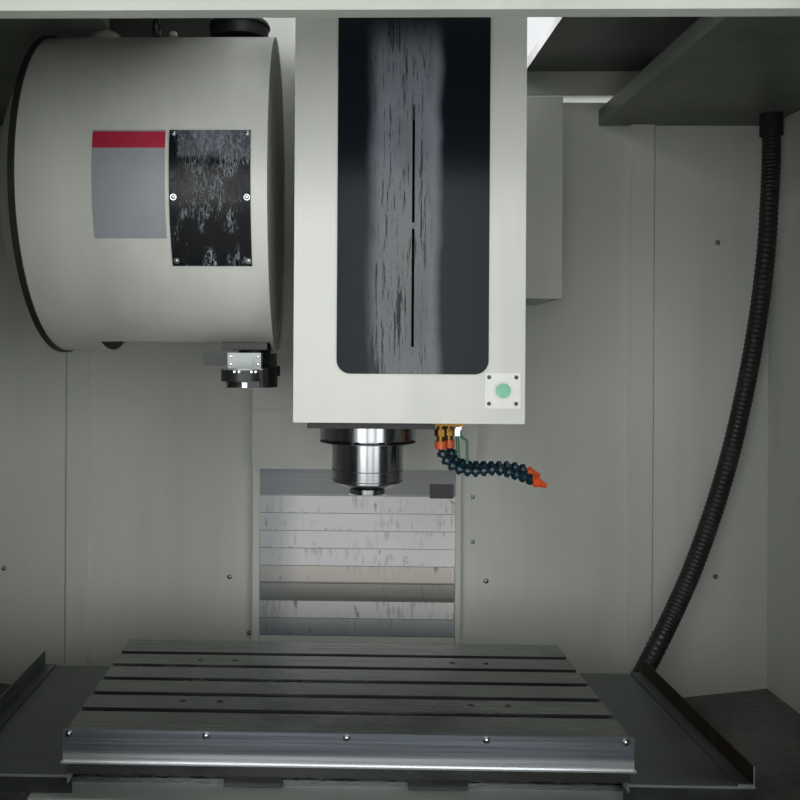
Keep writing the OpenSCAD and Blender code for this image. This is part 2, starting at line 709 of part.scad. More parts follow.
// Curved window plate on the front of the drum
module drum_window() color("#101214") intersection() {
    difference() {
        along_x([window_x, drum_y, drum_z]) rod(2 * (drum_r + 3), window_w);
        along_x([window_x - cut, drum_y, drum_z]) rod(2 * drum_r + 2 * fit, window_w + 2 * cut);
    }
    slab([window_x, drum_y - drum_r - 10, drum_z - 177], [window_x + window_w, drum_y - drum_r / 2, drum_z + 67]);
}

// Cam gearbox of the changer, on the right of the bracket
module changer_gearbox() color("#3c4144") difference() {
    union() {
        slab([-column_w / 2, arm_y - 70, arm_z + arm_t + 36], [-gear_x1, arm_y + 120, drum_z + 90]);
        translate([-arm_x, arm_y, arm_z + arm_t + 6]) rod(70, 30);
        translate([-motor_x, drum_y - 20, drum_z + 90]) rod(stem_d, drum_r - 85);
        // Bosses that carry the drum cover's end plate
        for (y = [-40, 70], z = [-180, 60]) along_x([-gear_x1, drum_y + y, drum_z + z]) rod(26, gear_x1 - drum_right - sheet);
    }
    translate([-arm_x, arm_y, arm_z + arm_t + 5]) rod(shaft_d + 2 * fit, 180);
}

module changer_motor() color("#17191b") translate([-motor_x, drum_y - 20, drum_z + drum_r + 5]) {
    rod(126, 26);
    intersection() {
        translate([0, 0, 26]) scale([1, 1, 0.45]) sphere(d = 134);
        translate([0, 0, 26]) rod(134, 60);
    }
}

// Magazine disc with its tool pots, each with the taper that a tool stands in
module tool_disc() color("#7d8386") translate([-disc_x, drum_y, drum_z]) difference() {
    disc_r = pot_circle + pot_d / 2 + 4;
    union() {
        along_x([-12, 0, 0]) rod(2 * disc_r, 24);
        for (i = [0 : pot_n - 1]) rotate([i * 360 / pot_n, 0, 0])
            along_x([-100, 0, pot_circle]) rod(pot_d, 92);
    }
    along_x([-12 - cut, 0, 0]) rod(50 + 2 * fit, 24 + 2 * cut);
    for (i = [0 : 7]) rotate([i * 45, 0, 0]) along_x([-12 - cut, 0, disc_r / 2]) rod(70, 24 + 2 * cut);
    for (i = [0 : pot_n - 1]) rotate([i * 360 / pot_n, 0, 0])
        along_x([-100 - cut, 0, pot_circle]) cylinder(d1 = taper_d + 1, d2 = taper_d * 0.6, h = 66);
}

gripper_d = 84;
grip_bore = 60;

// A gripper at one end of the arm, centred on the tool's axis, with a key under its tip. It opens to +X.
module gripper() difference() {
    union() {
        translate([0, 0, 19]) rod(gripper_d, arm_t - 20);
        slab([0, -gripper_d / 2 + 0.5, 8], [33, -gripper_d / 2 + 14, 20]);
    }
    translate([0, 0, -cut]) rod(grip_bore, arm_t + 2 * cut);
    slab([0, -28, -cut], [gripper_d / 2 + cut, 28, arm_t + cut]);
}

// Housing of the tool lock, bolted on the arm behind the gripper, with its round plug
module lock_housing() {
    slab([-38, 72, arm_t - 3], [27, 117, arm_t + 29]);
    along_y([-3, 69, arm_t + 12]) rod(32, 10);
}

// Changer arm: shaft, hub and two ends alike, parked along Y
module changer_arm() color("#4a4f52") translate([-arm_x, arm_y, arm_z]) {
    rod(shaft_d, arm_t + 170);
    rod(100, arm_t);
    for (a = [0, 180]) rotate([0, 0, a]) {
        difference() {
            slab([-34, -arm_reach, 6], [34, 0, arm_t - 2]);
            translate([0, -arm_reach, -cut]) rod(grip_bore, arm_t + 2 * cut);
            slab([0, -arm_reach - 28, -cut], [gripper_d, -arm_reach + 28, arm_t + cut]);
        }
        translate([0, -arm_reach, 0]) gripper();
        translate([0, -arm_reach, 0]) lock_housing();
    }
    // Blocks of the lock's switch, on the front end alone
    slab([-59, -arm_reach + 72, arm_t + 3], [-37, -arm_reach + 117, arm_t + 29]);
    slab([-86, -arm_reach + 72, arm_t + 3], [-58, -arm_reach + 112, arm_t + 29]);
}

module saddle() color("#c2c7c1") translate([0, table_rest_y, 0]) {
    half = saddle_l / 2;
    wide = y_rail_pitch / 2 + 60;
    difference() {
        translate([0, saddle_w / 2, 0]) rotate([90, 0, 0]) linear_extrude(saddle_w) polygon([
            [-wide, saddle_z], [wide, saddle_z], [half, saddle_top - 70], [half, saddle_top],
            [-half, saddle_top], [-half, saddle_top - 70]]);
        // Channel for the X screw, and the pocket for the Y nut
        slab([-half - cut, -60, saddle_top - 75], [half + cut, 60, saddle_top + cut]);
        slab([-80, -saddle_w / 2 - cut, saddle_z - cut], [80, saddle_w / 2 + cut, saddle_z + 30]);
    }
    for (x = [-1, 1], y = [-1, 1])
        translate([x * y_rail_pitch / 2, y * (saddle_w / 2 - block_l / 2), bed_top]) rotate([0, 0, 90]) rail_block();
    translate([0, 0, y_screw_z]) rotate([0, 0, 90]) ball_nut(saddle_z + 30 - y_screw_z);
    // Bracket at the right rear corner, with the conduit's lower gland
    p = conduit_points[len(conduit_points) - 1] - [0, table_rest_y, 0];
    slab([half - 60, saddle_w / 2 - 40, saddle_top - 66], [half, saddle_w / 2, saddle_top - 30]);
    difference() {
        slab([half - 60, saddle_w / 2, p[2] - 30], [p[0] + 32, p[1] + 24, p[2] - 24]);
        translate([p[0], p[1], p[2] - 31]) rod(conduit_d - 8, 8);
    }
    difference() {
        translate([p[0], p[1], p[2] - 24]) rod(conduit_d, 22);
        translate([p[0], p[1], p[2] - 25]) rod(conduit_d - 8, 26);
    }
}

module x_rails() color("#8d9296") translate([0, table_rest_y, 0]) {
    for (s = [-1, 1]) translate([-saddle_l / 2, s * x_rail_pitch / 2, saddle_top]) rail(saddle_l);
    translate([-saddle_l / 2, 0, x_screw_z]) end_block(-45, 30, 118);
    translate([saddle_l / 2 - 40, 0, x_screw_z]) end_block(-45, 30, 118);
    // X motor and its bracket, on the saddle's left end
    mirror([1, 0, 0]) translate([saddle_l / 2, 0, x_screw_z]) {
        difference() {
            slab([0, -motor_w / 2, -motor_w / 2], [30, motor_w / 2, motor_w / 2]);
            along_x([-cut, 0, 0]) rod(screw_d * 0.6 + 2 * slide_gap, 20 + cut);
        }
        translate([30, 0, 0]) servo_motor(190);
    }
}

module x_screw() color("#b9bdc0") translate([-saddle_l / 2 - 12, table_rest_y, x_screw_z])
    ball_screw(saddle_l + 12);

module table() color("#8b8e8d") translate([table_rest_x, table_rest_y, 0]) {
    l = table_l;
    w = table_w;
    difference() {
        slab([-l / 2, -w / 2, table_z], [l / 2, w / 2, table_top]);
        for (i = [0 : slot_n - 1]) translate([0, (i - (slot_n - 1) / 2) * slot_pitch, table_top]) {
            slab([-l / 2 - cut, -slot_w / 2, -slot_d], [l / 2 + cut, slot_w / 2, cut]);
            slab([-l / 2 - cut, -slot_foot_w / 2, -slot_d], [l / 2 + cut, slot_foot_w / 2, slot_foot_h - slot_d]);
        }
    }
    for (x = [-1, 1], y = [-1, 1])
        translate([x * (saddle_l - x_travel - block_l) / 2, y * x_rail_pitch / 2, saddle_top]) rail_block();
    translate([0, 0, x_screw_z]) ball_nut(table_z - x_screw_z);
}

// Front apron: a flanged plate hung on the table's front edge
module table_apron() color("#aeb6bc") translate([table_rest_x, table_rest_y - table_w / 2, 0]) {
    half = table_l / 2 + 6;
    slab([-half, -apron_t, table_top - apron_h + 1], [half, 0, table_top + 1]);
    slab([-half - 3, -apron_t - 4, table_top - apron_h - 2], [half + 3, 0, table_top - apron_h + 1]);
}

// Covers that ride with the table, over the ends of the saddle
module x_covers() color("#6f7576") translate([table_rest_x, table_rest_y, 0]) pair_x(table_l / 2) {
    slab([0, -cover_front, cover_z - cover_t], [cover_reach, cover_back, cover_z]);
    slab([0, -table_w / 2 + 10, cover_z - cover_t], [cover_t, table_w / 2 - 10, table_top - slot_d - 8]);
    slab([cover_reach - 30, -cover_front, cover_z - cover_t], [cover_reach, cover_back, cover_z + 4]);
    slab([cover_reach - 3, -cover_front, cover_z], [cover_reach, cover_back, cover_z + lip_h]);
    slab([0, -cover_front - cover_t, saddle_top + 3], [cover_reach, -cover_front, cover_z]);
}

module headstock() color("#c2c7c1") {
    w = headstock_w;
    difference() {
        union() {
            translate([-head_w / 2, 0, 0]) rotate([90, 0, 90]) linear_extrude(head_w) polygon([
                [-head_w * 0.6, head_z], [head_back - 60, head_z], [head_back - 60, head_top],
                [-head_w * 0.45, head_top], [-head_w * 0.6, head_top - 120]]);
            slab([-w / 2, head_back - 60, head_z], [w / 2, head_back, head_top]);
        }
        translate([0, 0, head_z - cut]) rod(cartridge_d - 8 + 2 * fit, head_h - 180);
        translate([0, 0, head_z]) rod(60, head_h + cut);
        // Cored windows that lighten both sides of the casting
        for (s = [-1, 1]) slab([s * head_w / 2 - 30, 190, head_z + 90], [s * head_w / 2 + 30, head_back - 130, head_top - 90]);
    }
    for (x = [-1, 1], z = [head_z + block_l / 2, head_top - block_l / 2])
        translate([x * z_rail_pitch / 2, column_y, z]) rotate([90, 0, 0]) rotate([0, 0, 90]) rail_block();
    translate([0, z_screw_y, (head_z + head_top) / 2]) rotate([0, -90, 0]) rotate([90, 0, 0])
        ball_nut(z_screw_y - head_back);
}

// Sheet-metal hood over the head: front and sides, with a flat top
module head_cover() color("#e4e6e0") {
    difference() {
        slab([-hood_left, -hood_front, hood_z], [hood_right, rear_front, hood_top]);
        slab([-hood_left + sheet, -hood_front + sheet, hood_z - cut],
            [hood_right - sheet, rear_front + cut, hood_top - sheet]);
        along_y([button_x, -hood_front - cut, button_z]) rod(button_d + 1, sheet + 2 * cut);
        panel_slots();
    }
    // Brackets on both sides of the casting
    for (z = [head_z + 60, head_top - 160]) {
        slab([-hood_left + sheet, 40, z], [-head_w / 2, 80, z + 40]);
        slab([head_w / 2, 40, z], [hood_right - sheet, 80, z + 40]);
    }
}

panel_x = 67.25;
panel_z = hood_z + 89;
panel_h = 780;
panel_slot_z = 49;
panel_slot_l = 437;
panel_bridge = 11;

// The slot through the panel and the hood, in two lengths with a bridge between them
module panel_slots() {
    part_l = (panel_slot_l - panel_bridge) / 2;
    for (z = [0, part_l + panel_bridge]) translate([panel_x, -hood_front, panel_z + panel_slot_z + z])
        slab([-panel_slot / 2, -3 - cut, 0], [panel_slot / 2, sheet + cut, part_l]);
}

module head_panel() color("#15191f") difference() {
    along_y([panel_x, -hood_front - 3, panel_z + panel_h / 2]) linear_extrude(3) {
        square([panel_w, panel_h - 2 * panel_r], center = true);
        square([panel_w - 2 * panel_r, panel_h], center = true);
        for (x = [-1, 1], y = [-1, 1])
            translate([x * (panel_w / 2 - panel_r), y * (panel_h / 2 - panel_r)]) circle(r = panel_r);
    }
    panel_slots();
}

// Rear cover of the head: the sheet behind the hood and the apron plate under it
rear_left = 285;
rear_right = 320;
rear_top = head_z + 1052;
apron_bottom = nose_z - 17;
apron_top = head_z + 2;

module rear_cover() color("#d9dcd6") {
    back = throat - 7;
    foot = apron_top + 1;
    difference() {
        slab([-rear_left, rear_front, foot], [rear_right, back, rear_top]);
        slab([-rear_left + sheet, rear_front + sheet, foot - cut], [rear_right - sheet, back + cut, rear_top - sheet]);
        slab([-hood_left + 8, rear_front - cut, foot - cut], [hood_right - 8, rear_front + sheet + cut, hood_top - 8]);
        // Slanted left shoulder
        translate([-rear_left - cut, rear_front - cut, rear_top - 30]) rotate([0, -32, 0]) slab([-60, 0, 0], [90, 200, 90]);
    }
    // Tabs to the casting's back plate
    for (z = [head_z + 80, head_top - 140]) {
        slab([-rear_left + sheet, back - 15, z], [-headstock_w / 2, back, z + 60]);
        slab([headstock_w / 2, back - 15, z], [rear_right - sheet, back, z + 60]);
    }
    // Apron plate with a slanted right edge, and its box back to the way cover, under the casting
    y0 = rear_front + 50;
    box_x = z_cover_w / 2 - 3;
    difference() {
        translate([0, y0 + sheet, 0]) rotate([90, 0, 0]) linear_extrude(sheet) polygon([
            [-rear_left - 5, apron_bottom], [rear_right - 36, apron_bottom], [rear_right - 2, apron_bottom + 30],
            [rear_right + 5, apron_top], [-rear_left - 5, apron_top]]);
        slab([-head_w / 2 - slide_gap, y0 - cut, head_z], [head_w / 2 + slide_gap, y0 + sheet + cut, apron_top + cut]);
    }
    difference() {
        slab([-box_x, y0 + sheet, apron_bottom], [box_x, rear_back, head_z]);
        slab([-box_x + sheet, y0 + sheet - cut, apron_bottom + sheet], [box_x - sheet, rear_back + cut, head_z - sheet]);
    }
}

module spindle_housing() color("#b8bbbd") difference() {
    union() {
        translate([0, 0, nose_z + 11]) cylinder(d1 = nose_d + 8, d2 = cartridge_d, h = 14);
        translate([0, 0, nose_z + 25]) rod(cartridge_d, nose_l - 25 - 32);
        translate([0, 0, head_z - 32]) rod(flange_d, 32);
        translate([0, 0, head_z - 1]) rod(cartridge_d - 8, head_h - 199);
    }
    translate([0, 0, nose_z]) rod(nose_d - 4 + 2 * fit, head_h + nose_l);
}

module spindle_shaft() color("#c6c9ca") {
    difference() {
        union() {
            translate([0, 0, nose_z]) rod(nose_d - 4, head_h + nose_l - 250);
            translate([0, 0, nose_z]) rod(nose_d, 11 - slide_gap);
            translate([0, 0, nose_z + 11]) rod(50, head_h + nose_l - 11 - 40);
        }
        translate([0, 0, nose_z - 0.001]) cylinder(d1 = taper_d, d2 = taper_d - 65 * 7 / 24, h = 65.001);
        translate([0, 0, nose_z + 60]) rod(taper_d - 65 * 7 / 24 - 0.5, head_h + nose_l - 120);
        translate([0, 0, nose_z - cut]) cylinder(d = taper_d, h = cut + 0.01);
    }
    for (s = [-1, 1]) translate([s * (nose_d / 2 - 8), 0, nose_z - 3]) slab([-7, -8, 0], [7, 8, 3]);
}

module drawbar() color("#9aa0a3") translate([0, 0, nose_z + 78]) {
    rod(taper_d - 65 * 7 / 24 - 0.5 - 2 * fit, head_h + nose_l - 150);
}

module spindle_motor() color("#2d3134") {
    top = hood_top - 40;
    difference() {
        slab([-95, -95, head_top], [95, 95, head_top + 18]);
        translate([0, 0, head_top - cut]) rod(50, 10);
    }
    translate([0, 0, head_top + 18]) rod(176, top - head_top - 98);
    slab([-88, -88, top - 80], [88, 88, top]);
}

button_x = 229.6;
button_z = hood_z + 60;

module button_plate() color("#d5d8d2") difference() {
    union() {
        slab([button_x - 32, -hood_front - 1.5, button_z - 32], [button_x + 32, -hood_front, button_z + 32]);
        along_y([button_x, -hood_front - 6, button_z]) rod(button_d + 6, 4.5);
    }
    along_y([button_x, -hood_front - 6 - cut, button_z]) rod(button_d + 2 * fit, 8 + cut);
}

module release_button() color("#8fd8b4") {
    along_y([button_x, -hood_front - 6 - button_travel, button_z]) rod(button_d, 6 + button_travel + sheet + 14);
}

manifold = [160, -60, nose_z + 150];
// The two valves stand one behind the other; the front one feeds the front hose
valve_places = [[-13, 0, 0], [7, 24, 0]];
lever_place = manifold + [17, -26, -14];

// Coolant block on the casting's side, with two brass valves and the hoses' socket nuts below it
module coolant_manifold() color("#b08d3c") {
    slab([head_w / 2, manifold[1] - 34, manifold[2]], [manifold[0] + 30, manifold[1] + 44, manifold[2] + 42]);
    for (v = valve_places) translate(manifold + v - [0, 0, 33]) {
        rod(17, 33);
        translate([0, 0, 10]) cylinder(d = 25, h = 14, $fn = 6);
        difference() {
            translate([0, 0, -16]) rod(24, 16);
            translate([0, 0, -13]) sphere(d = ball_d + 2 * slide_gap);
        }
    }
    along_y(lever_place) rod(9, 48);
}

module valve_lever() color("#d8dadb") {
    p = lever_place - [0, slide_gap, 0];
    slab(p + [-5, -3, -6], p + [5, 0, 13]);
    slab(p + [-5, -16, 9], p + [5, -3, 13]);
}

// Segmented hoses: ball-and-socket links strung along a curve that turns a little at each link
hose_links = [13, 11];
link_pitch = 16;
link_d = 23;
ball_d = 16;

// Heading of each link: how far it points up, and how far it turns to the front
function link_up(k, i) = lookup(i, k == 0
    ? [[0, -72], [1, -54], [2, -36], [4, -8], [6, 8], [7, 8], [9, -14], [13, -22]]
    : [[0, -72], [1, -54], [2, -34], [4, 0], [8, 0], [11, -20]]);
function link_turn(k, i) = lookup(i, k == 0 ? [[0, -24], [5, -14], [13, 10]] : [[0, 4], [5, 2], [11, -8]]);
function link_dir(k, i) = [cos(link_up(k, i)) * cos(link_turn(k, i)), cos(link_up(k, i)) * sin(link_turn(k, i)),
    sin(link_up(k, i))];
function link_place(k, i) = i == 0 ? manifold + valve_places[k] - [0, 0, 46]
    : link_place(k, i - 1) + link_pitch * link_dir(k, i - 1);

module point_along(place, dir) translate(place) rotate([0, acos(dir[2]), atan2(dir[1], dir[0])]) children();

// A link: a ball at its start, and a cup at its end that holds the next link's ball
module hose_link() difference() {
    union() {
        sphere(d = ball_d);
        rod(ball_d * 0.66, link_pitch * 0.7);
        translate([0, 0, link_pitch * 0.45]) cylinder(d1 = ball_d * 0.9, d2 = link_d, h = link_pitch * 0.25);
        translate([0, 0, link_pitch * 0.7]) rod(link_d, link_pitch * 0.42);
    }
    translate([0, 0, link_pitch]) sphere(d = ball_d + 2 * slide_gap);
}

// A nozzle: the same ball, a collar and a tapered mouth with its bore
module hose_nozzle() difference() {
    union() {
        sphere(d = ball_d);
        rod(ball_d * 0.66, link_pitch * 0.5);
        translate([0, 0, link_pitch * 0.45]) cylinder(d1 = ball_d, d2 = link_d, h = 3);
        translate([0, 0, link_pitch * 0.45 + 3]) rod(link_d, 5);
        translate([0, 0, link_pitch * 0.45 + 8]) cylinder(d1 = link_d * 0.85, d2 = 9, h = 20);
    }
    translate([0, 0, link_pitch * 0.45 + 12]) rod(5, 20);
}

module coolant_hoses() for (k = [0, 1]) {
    n = hose_links[k];
    color("#1f6f7f") for (i = [0 : n - 1]) point_along(link_place(k, i), link_dir(k, i)) hose_link();
    color("#e8632a") point_along(link_place(k, n), link_dir(k, n)) hose_nozzle();
}

// One plate of the column way cover, k = 1 at the top. Each slides inside the one above it.
module z_plate(k) color("#b9bec0") {
    y = throat + (k - 1) * (z_plate_t + z_plate_gap);
    z = z_cover_bottom + (z_cover_n - k) * z_step;
    h = k == 1 ? z_step + 35 : z_plate_h;
    half = z_cover_w / 2;
    slab([-half, y, z], [half, y + z_plate_t, z + h]);
    // Wiper fold along the lower edge, and the flange that stiffens the top
    slab([-half, y - 0.3, z], [half, y, z + 3]);
    slab([-half, y + z_plate_t, z + h - 2], [half, y + (k == 1 ? 18 : 26), z + h]);
}

module door() color("#d9dcd6") {
    // The door stands open at rest, its inner edge just outside the opening
    x0 = door_open_w / 2 + 17;
    z0 = sill_z - 30;
    z1 = header_z + 30;
    translate([0, -door_y, 0]) {
        difference() {
            slab([x0, -door_t / 2, z0], [x0 + door_w, door_t / 2, z1]);
            slab([x0 + 95, -door_t / 2 - cut, z0 + 300], [x0 + door_w - 95, door_t / 2 + cut, z1 - 150]);
            slab([x0 + 4, -door_t / 2 + 3, z0 + 4], [x0 + door_w - 4, door_t / 2 - 3, z0 + 270]);
        }
        slab([x0 + 5, -5.6, z1], [x0 + door_w - 5, 5.6, header_z + 55]);
        slab([x0 + 5, -5.6, sill_z - 47], [x0 + door_w - 5, 5.6, z0]);
        // Bar handle on two posts
        for (z = [z0 + 420, z0 + 760]) along_y([x0 + 48, -door_t / 2 - 38, z]) rod(16, 38);
        translate([x0 + 48, -door_t / 2 - 38, z0 + 390]) rod(26, 400);
    }
}

module window() color([0.55, 0.62, 0.62, 0.5]) {
    x0 = door_open_w / 2 + 17;
    slab([x0 + 95, -door_y - 3, sill_z + 270], [x0 + door_w - 95, -door_y + 3, header_z - 120]);
}

pendant_x = 1135;
pendant_y = -930;

module operator_panel() color("#d9dcd6") {
    z0 = 1180;
    z1 = 1800;
    difference() {
        slab([pendant_x - 420, pendant_y - 60, z0], [pendant_x - 10, pendant_y + 60, z1]);
        // Screen recess and the sloped key deck
        slab([pendant_x - 385, pendant_y - 60 - cut, z0 + 320], [pendant_x - 45, pendant_y - 52, z1 - 40]);
        slab([pendant_x - 395, pendant_y - 60 - cut, z0 + 40], [pendant_x - 35, pendant_y - 56, z0 + 290]);
        along_y([pendant_x - 70, pendant_y - 60 - cut, z0 + 90]) rod(22 + 2 * fit, 40);
        along_y([pendant_x - 150, pendant_y - 60 - cut, z0 + 90]) rod(10 + 2 * fit, 40);
    }
    translate([pendant_x, pendant_y, z1 - 120]) rod(50, header_z + 120 - z1 + 120);
    slab([pendant_x - 30, pendant_y - 24, z1 - 110], [pendant_x, pendant_y + 24, z1 - 20]);
}

module emergency_stop() color("#c62420") {
    along_y([pendant_x - 70, pendant_y - 96, 1270]) rod(40, 16);
    along_y([pendant_x - 70, pendant_y - 80, 1270]) rod(22, 40);
}

module override_knob() color("#1b1d1f") {
    along_y([pendant_x - 150, pendant_y - 80, 1270]) difference() {
        rod(34, 20);
        translate([-1.5, 10, -cut]) cube([3, 10, 2]);
    }
    along_y([pendant_x - 150, pendant_y - 60, 1270]) rod(10, 24);
}

bed();
levelling_feet();
column();
rails_and_motors();
chip_pans();
coolant_tank();
back_wall();
side_walls();
roof_panels();
front_frame();
column_side_box();
conduit_gland();
cable_conduit();
electrical_cabinet();
cabinet_door();
magazine_bracket();
drum_cover();
drum_rim_seal();
drum_window();
changer_gearbox();
changer_motor();
tool_disc();
changer_arm();
y_screw();
z_screw();
x_screw();
saddle();
x_rails();
table();
table_apron();
x_covers();
headstock();
head_cover();
head_panel();
rear_cover();
spindle_housing();
spindle_shaft();
drawbar();
spindle_motor();
release_button();
button_plate();
coolant_manifold();
valve_lever();
coolant_hoses();
z_plate(1);  // z_cover_1
z_plate(2);  // z_cover_2
z_plate(3);  // z_cover_3
z_plate(4);  // z_cover_4
z_plate(5);  // z_cover_5
z_plate(6);  // z_cover_6
z_plate(7);  // z_cover_7
z_plate(8);  // z_cover_8
z_plate(9);  // z_cover_9
door();  // door_right
mirror([1, 0, 0]) door();  // door_left
window();  // window_right
mirror([1, 0, 0]) window();  // window_left
operator_panel();
emergency_stop();
override_knob();
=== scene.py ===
import math

import bmesh
import bpy
from mathutils import Matrix, Vector


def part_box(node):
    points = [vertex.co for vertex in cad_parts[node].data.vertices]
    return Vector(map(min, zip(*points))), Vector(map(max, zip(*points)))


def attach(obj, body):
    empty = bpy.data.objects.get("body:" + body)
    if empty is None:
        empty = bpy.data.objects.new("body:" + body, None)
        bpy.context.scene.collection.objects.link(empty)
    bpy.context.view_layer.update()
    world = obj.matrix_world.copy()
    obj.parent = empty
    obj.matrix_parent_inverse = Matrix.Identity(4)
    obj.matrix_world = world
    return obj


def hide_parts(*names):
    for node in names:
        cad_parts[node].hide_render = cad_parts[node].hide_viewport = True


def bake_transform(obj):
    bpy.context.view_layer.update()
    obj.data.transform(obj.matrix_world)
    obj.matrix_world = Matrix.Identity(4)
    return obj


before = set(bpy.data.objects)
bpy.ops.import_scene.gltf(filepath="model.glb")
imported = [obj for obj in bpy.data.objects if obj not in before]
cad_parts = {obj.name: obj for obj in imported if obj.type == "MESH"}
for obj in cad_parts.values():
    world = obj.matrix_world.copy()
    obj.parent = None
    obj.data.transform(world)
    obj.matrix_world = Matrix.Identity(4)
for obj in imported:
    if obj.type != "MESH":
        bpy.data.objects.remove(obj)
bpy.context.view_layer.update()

# Studio: the camera stands at the open doors, where the photograph was taken, with a
# pale floor under the machine, a white surround and soft lamps in front and overhead.
scene = bpy.context.scene
scene.view_settings.view_transform = "Standard"
eye = bpy.data.cameras.new("doorway_camera")
eye.sensor_width = 36
eye.lens = 39.78
eye.shift_x = 0.115
eye.shift_y = -0.054
eye.clip_start = 0.02
camera = bpy.data.objects.new("doorway_camera", eye)
scene.collection.objects.link(camera)
eye_place = (-0.084, -1.880, 1.568)
pan, roll = math.radians(1.33), math.radians(0.35)
camera.matrix_world = (Matrix.Translation(eye_place) @ Matrix.Rotation(pan, 4, "Z")
    @ Matrix.Rotation(math.radians(90), 4, "X") @ Matrix.Rotation(roll, 4, "Z"))
scene.camera = camera


def tint(code):
    """A colour written as on a paint card, in the linear values that a shader takes."""
    parts = [int(code[i:i + 2], 16) / 255 for i in (1, 3, 5)]
    return tuple(p / 12.92 if p < 0.04045 else ((p + 0.055) / 1.055) ** 2.4 for p in parts) + (1.0,)


class Wire:
    """A shader socket that Python's operators work on."""

    def __init__(self, finish, socket):
        self.finish, self.socket = finish, socket

    def math(self, operation, *others):
        return self.finish.node("ShaderNodeMath", {"operation": operation}, [self, *others])

    def __add__(self, other):
        return self.math("ADD", other)

    def __sub__(self, other):
        return self.math("SUBTRACT", other)

    def __rsub__(self, other):
        return self.finish.node("ShaderNodeMath", {"operation": "SUBTRACT"}, [other, self])

    def __mul__(self, other):
        return self.math("MULTIPLY", other)

    def __gt__(self, other):
        return self.math("GREATER_THAN", other)

    def __lt__(self, other):
        return self.math("LESS_THAN", other)

    __radd__ = __add__
    __rmul__ = __mul__


class Finish:
    """One material, made of nodes over the piece's own place in the machine, in metres."""

    def __init__(self, name):
        self.material = bpy.data.materials.new(name)
        self.material.use_nodes = True
        self.tree = self.material.node_tree
        self.shader = self.tree.nodes["Principled BSDF"]
        self.place = self.node("ShaderNodeTexCoord", {}, {}, "Object")

    def node(self, kind, settings, inputs, output=0):
        made = self.tree.nodes.new(kind)
        for key, value in settings.items():
            if key == "stops":
                ramp = made.color_ramp
                while len(ramp.elements) < len(value):
                    ramp.elements.new(0.5)
                for element, (where, colour) in zip(ramp.elements, value):
                    element.position = where
                    element.color = colour
            else:
                setattr(made, key, value)
        pairs = inputs.items() if isinstance(inputs, dict) else enumerate(inputs)
        for key, value in pairs:
            if isinstance(value, Wire):
                self.tree.links.new(value.socket, made.inputs[key])
            else:
                made.inputs[key].default_value = value
        return Wire(self, made.outputs[output])

    def stretched(self, x, y, z):
        return self.node("ShaderNodeVectorMath", {"operation": "MULTIPLY"}, [self.place, (x, y, z)])

    def noise(self, scale, stretch=(1, 1, 1), detail=3.0, rough=0.55):
        return self.node("ShaderNodeTexNoise", {}, {"Vector": self.stretched(*stretch), "Scale": scale,
            "Detail": detail, "Roughness": rough})

    def axis(self, name):
        return self.node("ShaderNodeSeparateXYZ", {}, [self.place], name)

    def step(self, value, low, high, first=0.0, last=1.0):
        return self.node("ShaderNodeMapRange", {"interpolation_type": "SMOOTHSTEP"},
            {"Value": value, "From Min": low, "From Max": high, "To Min": first, "To Max": last})

    def blend(self, share, first, second):
        return self.node("ShaderNodeMix", {"data_type": "RGBA"}, {0: share, 6: first, 7: second}, 2)

    def bump(self, height, distance, strength=1.0):
        normal = self.node("ShaderNodeBump", {},
            {"Height": height, "Distance": distance, "Strength": strength})
        self.tree.links.new(normal.socket, self.shader.inputs["Normal"])
        return self

    def set(self, **sockets):
        for key, value in sockets.items():
            socket = self.shader.inputs[key.replace("_", " ").title().replace("Ior", "IOR")]
            if isinstance(value, Wire):
                self.tree.links.new(value.socket, socket)
            else:
                socket.default_value = value
        return self


floor_paint = Finish("floor_paint")
grain = floor_paint.noise(3.0)
floor_x, floor_y = floor_paint.axis("X"), floor_paint.axis("Y")
# Well away from the machine the floor glows as the surround does, so it isn't dark there
far = floor_paint.step(floor_x * floor_x + floor_y * floor_y, 12, 60)
floor_paint.set(base_color=floor_paint.blend(grain, tint("#dfe0de"), tint("#e7e7e5")), roughness=0.6,
    emission_color=floor_paint.blend(far, tint("#000000"), tint("#dcdcdb")), emission_strength=1.0)
floor_mesh = bpy.data.meshes.new("studio_floor")
half = 30
floor_mesh.from_pydata([(-half, -half, 0), (half, -half, 0), (half, half, 0), (-half, half, 0)], [],
    [(0, 1, 2, 3)])
floor_mesh.materials.append(floor_paint.material)
studio_floor = bpy.data.objects.new("studio_floor", floor_mesh)
studio_floor.location.z = -0.001
scene.collection.objects.link(studio_floor)

# Seen directly, in a mirror or through glass the surround is bright. As a light it is dim.
world = bpy.data.worlds.new("studio_world")
world.use_nodes = True
scene.world = world
air = world.node_tree
rays = air.nodes.new("ShaderNodeLightPath")
seen = air.nodes.new("ShaderNodeMath")
seen.operation = "MAXIMUM"
air.links.new(rays.outputs["Is Camera Ray"], seen.inputs[0])
air.links.new(rays.outputs["Is Glossy Ray"], seen.inputs[1])
either = air.nodes.new("ShaderNodeMath")
either.operation = "MAXIMUM"
air.links.new(seen.outputs[0], either.inputs[0])
air.links.new(rays.outputs["Is Transmission Ray"], either.inputs[1])
strength = air.nodes.new("ShaderNodeMapRange")
strength.inputs["To Min"].default_value = 0.2
strength.inputs["To Max"].default_value = 0.9
air.links.new(either.outputs[0], strength.inputs["Value"])
air.links.new(strength.outputs[0], air.nodes["Background"].inputs["Strength"])
air.nodes["Background"].inputs["Color"].default_value = (0.96, 0.98, 1.0, 1)


def lamp(name, place, target, width, height, power):
    """A soft rectangular lamp at a place, aimed at a target."""
    light = bpy.data.lights.new(name, "AREA")
    light.shape = "RECTANGLE"
    light.size, light.size_y = width, height
    light.energy = power
    o = bpy.data.objects.new(name, light)
    scene.collection.objects.link(o)
    o.location = place
    o.rotation_euler = (Vector(target) - Vector(place)).to_track_quat("-Z", "Y").to_euler()


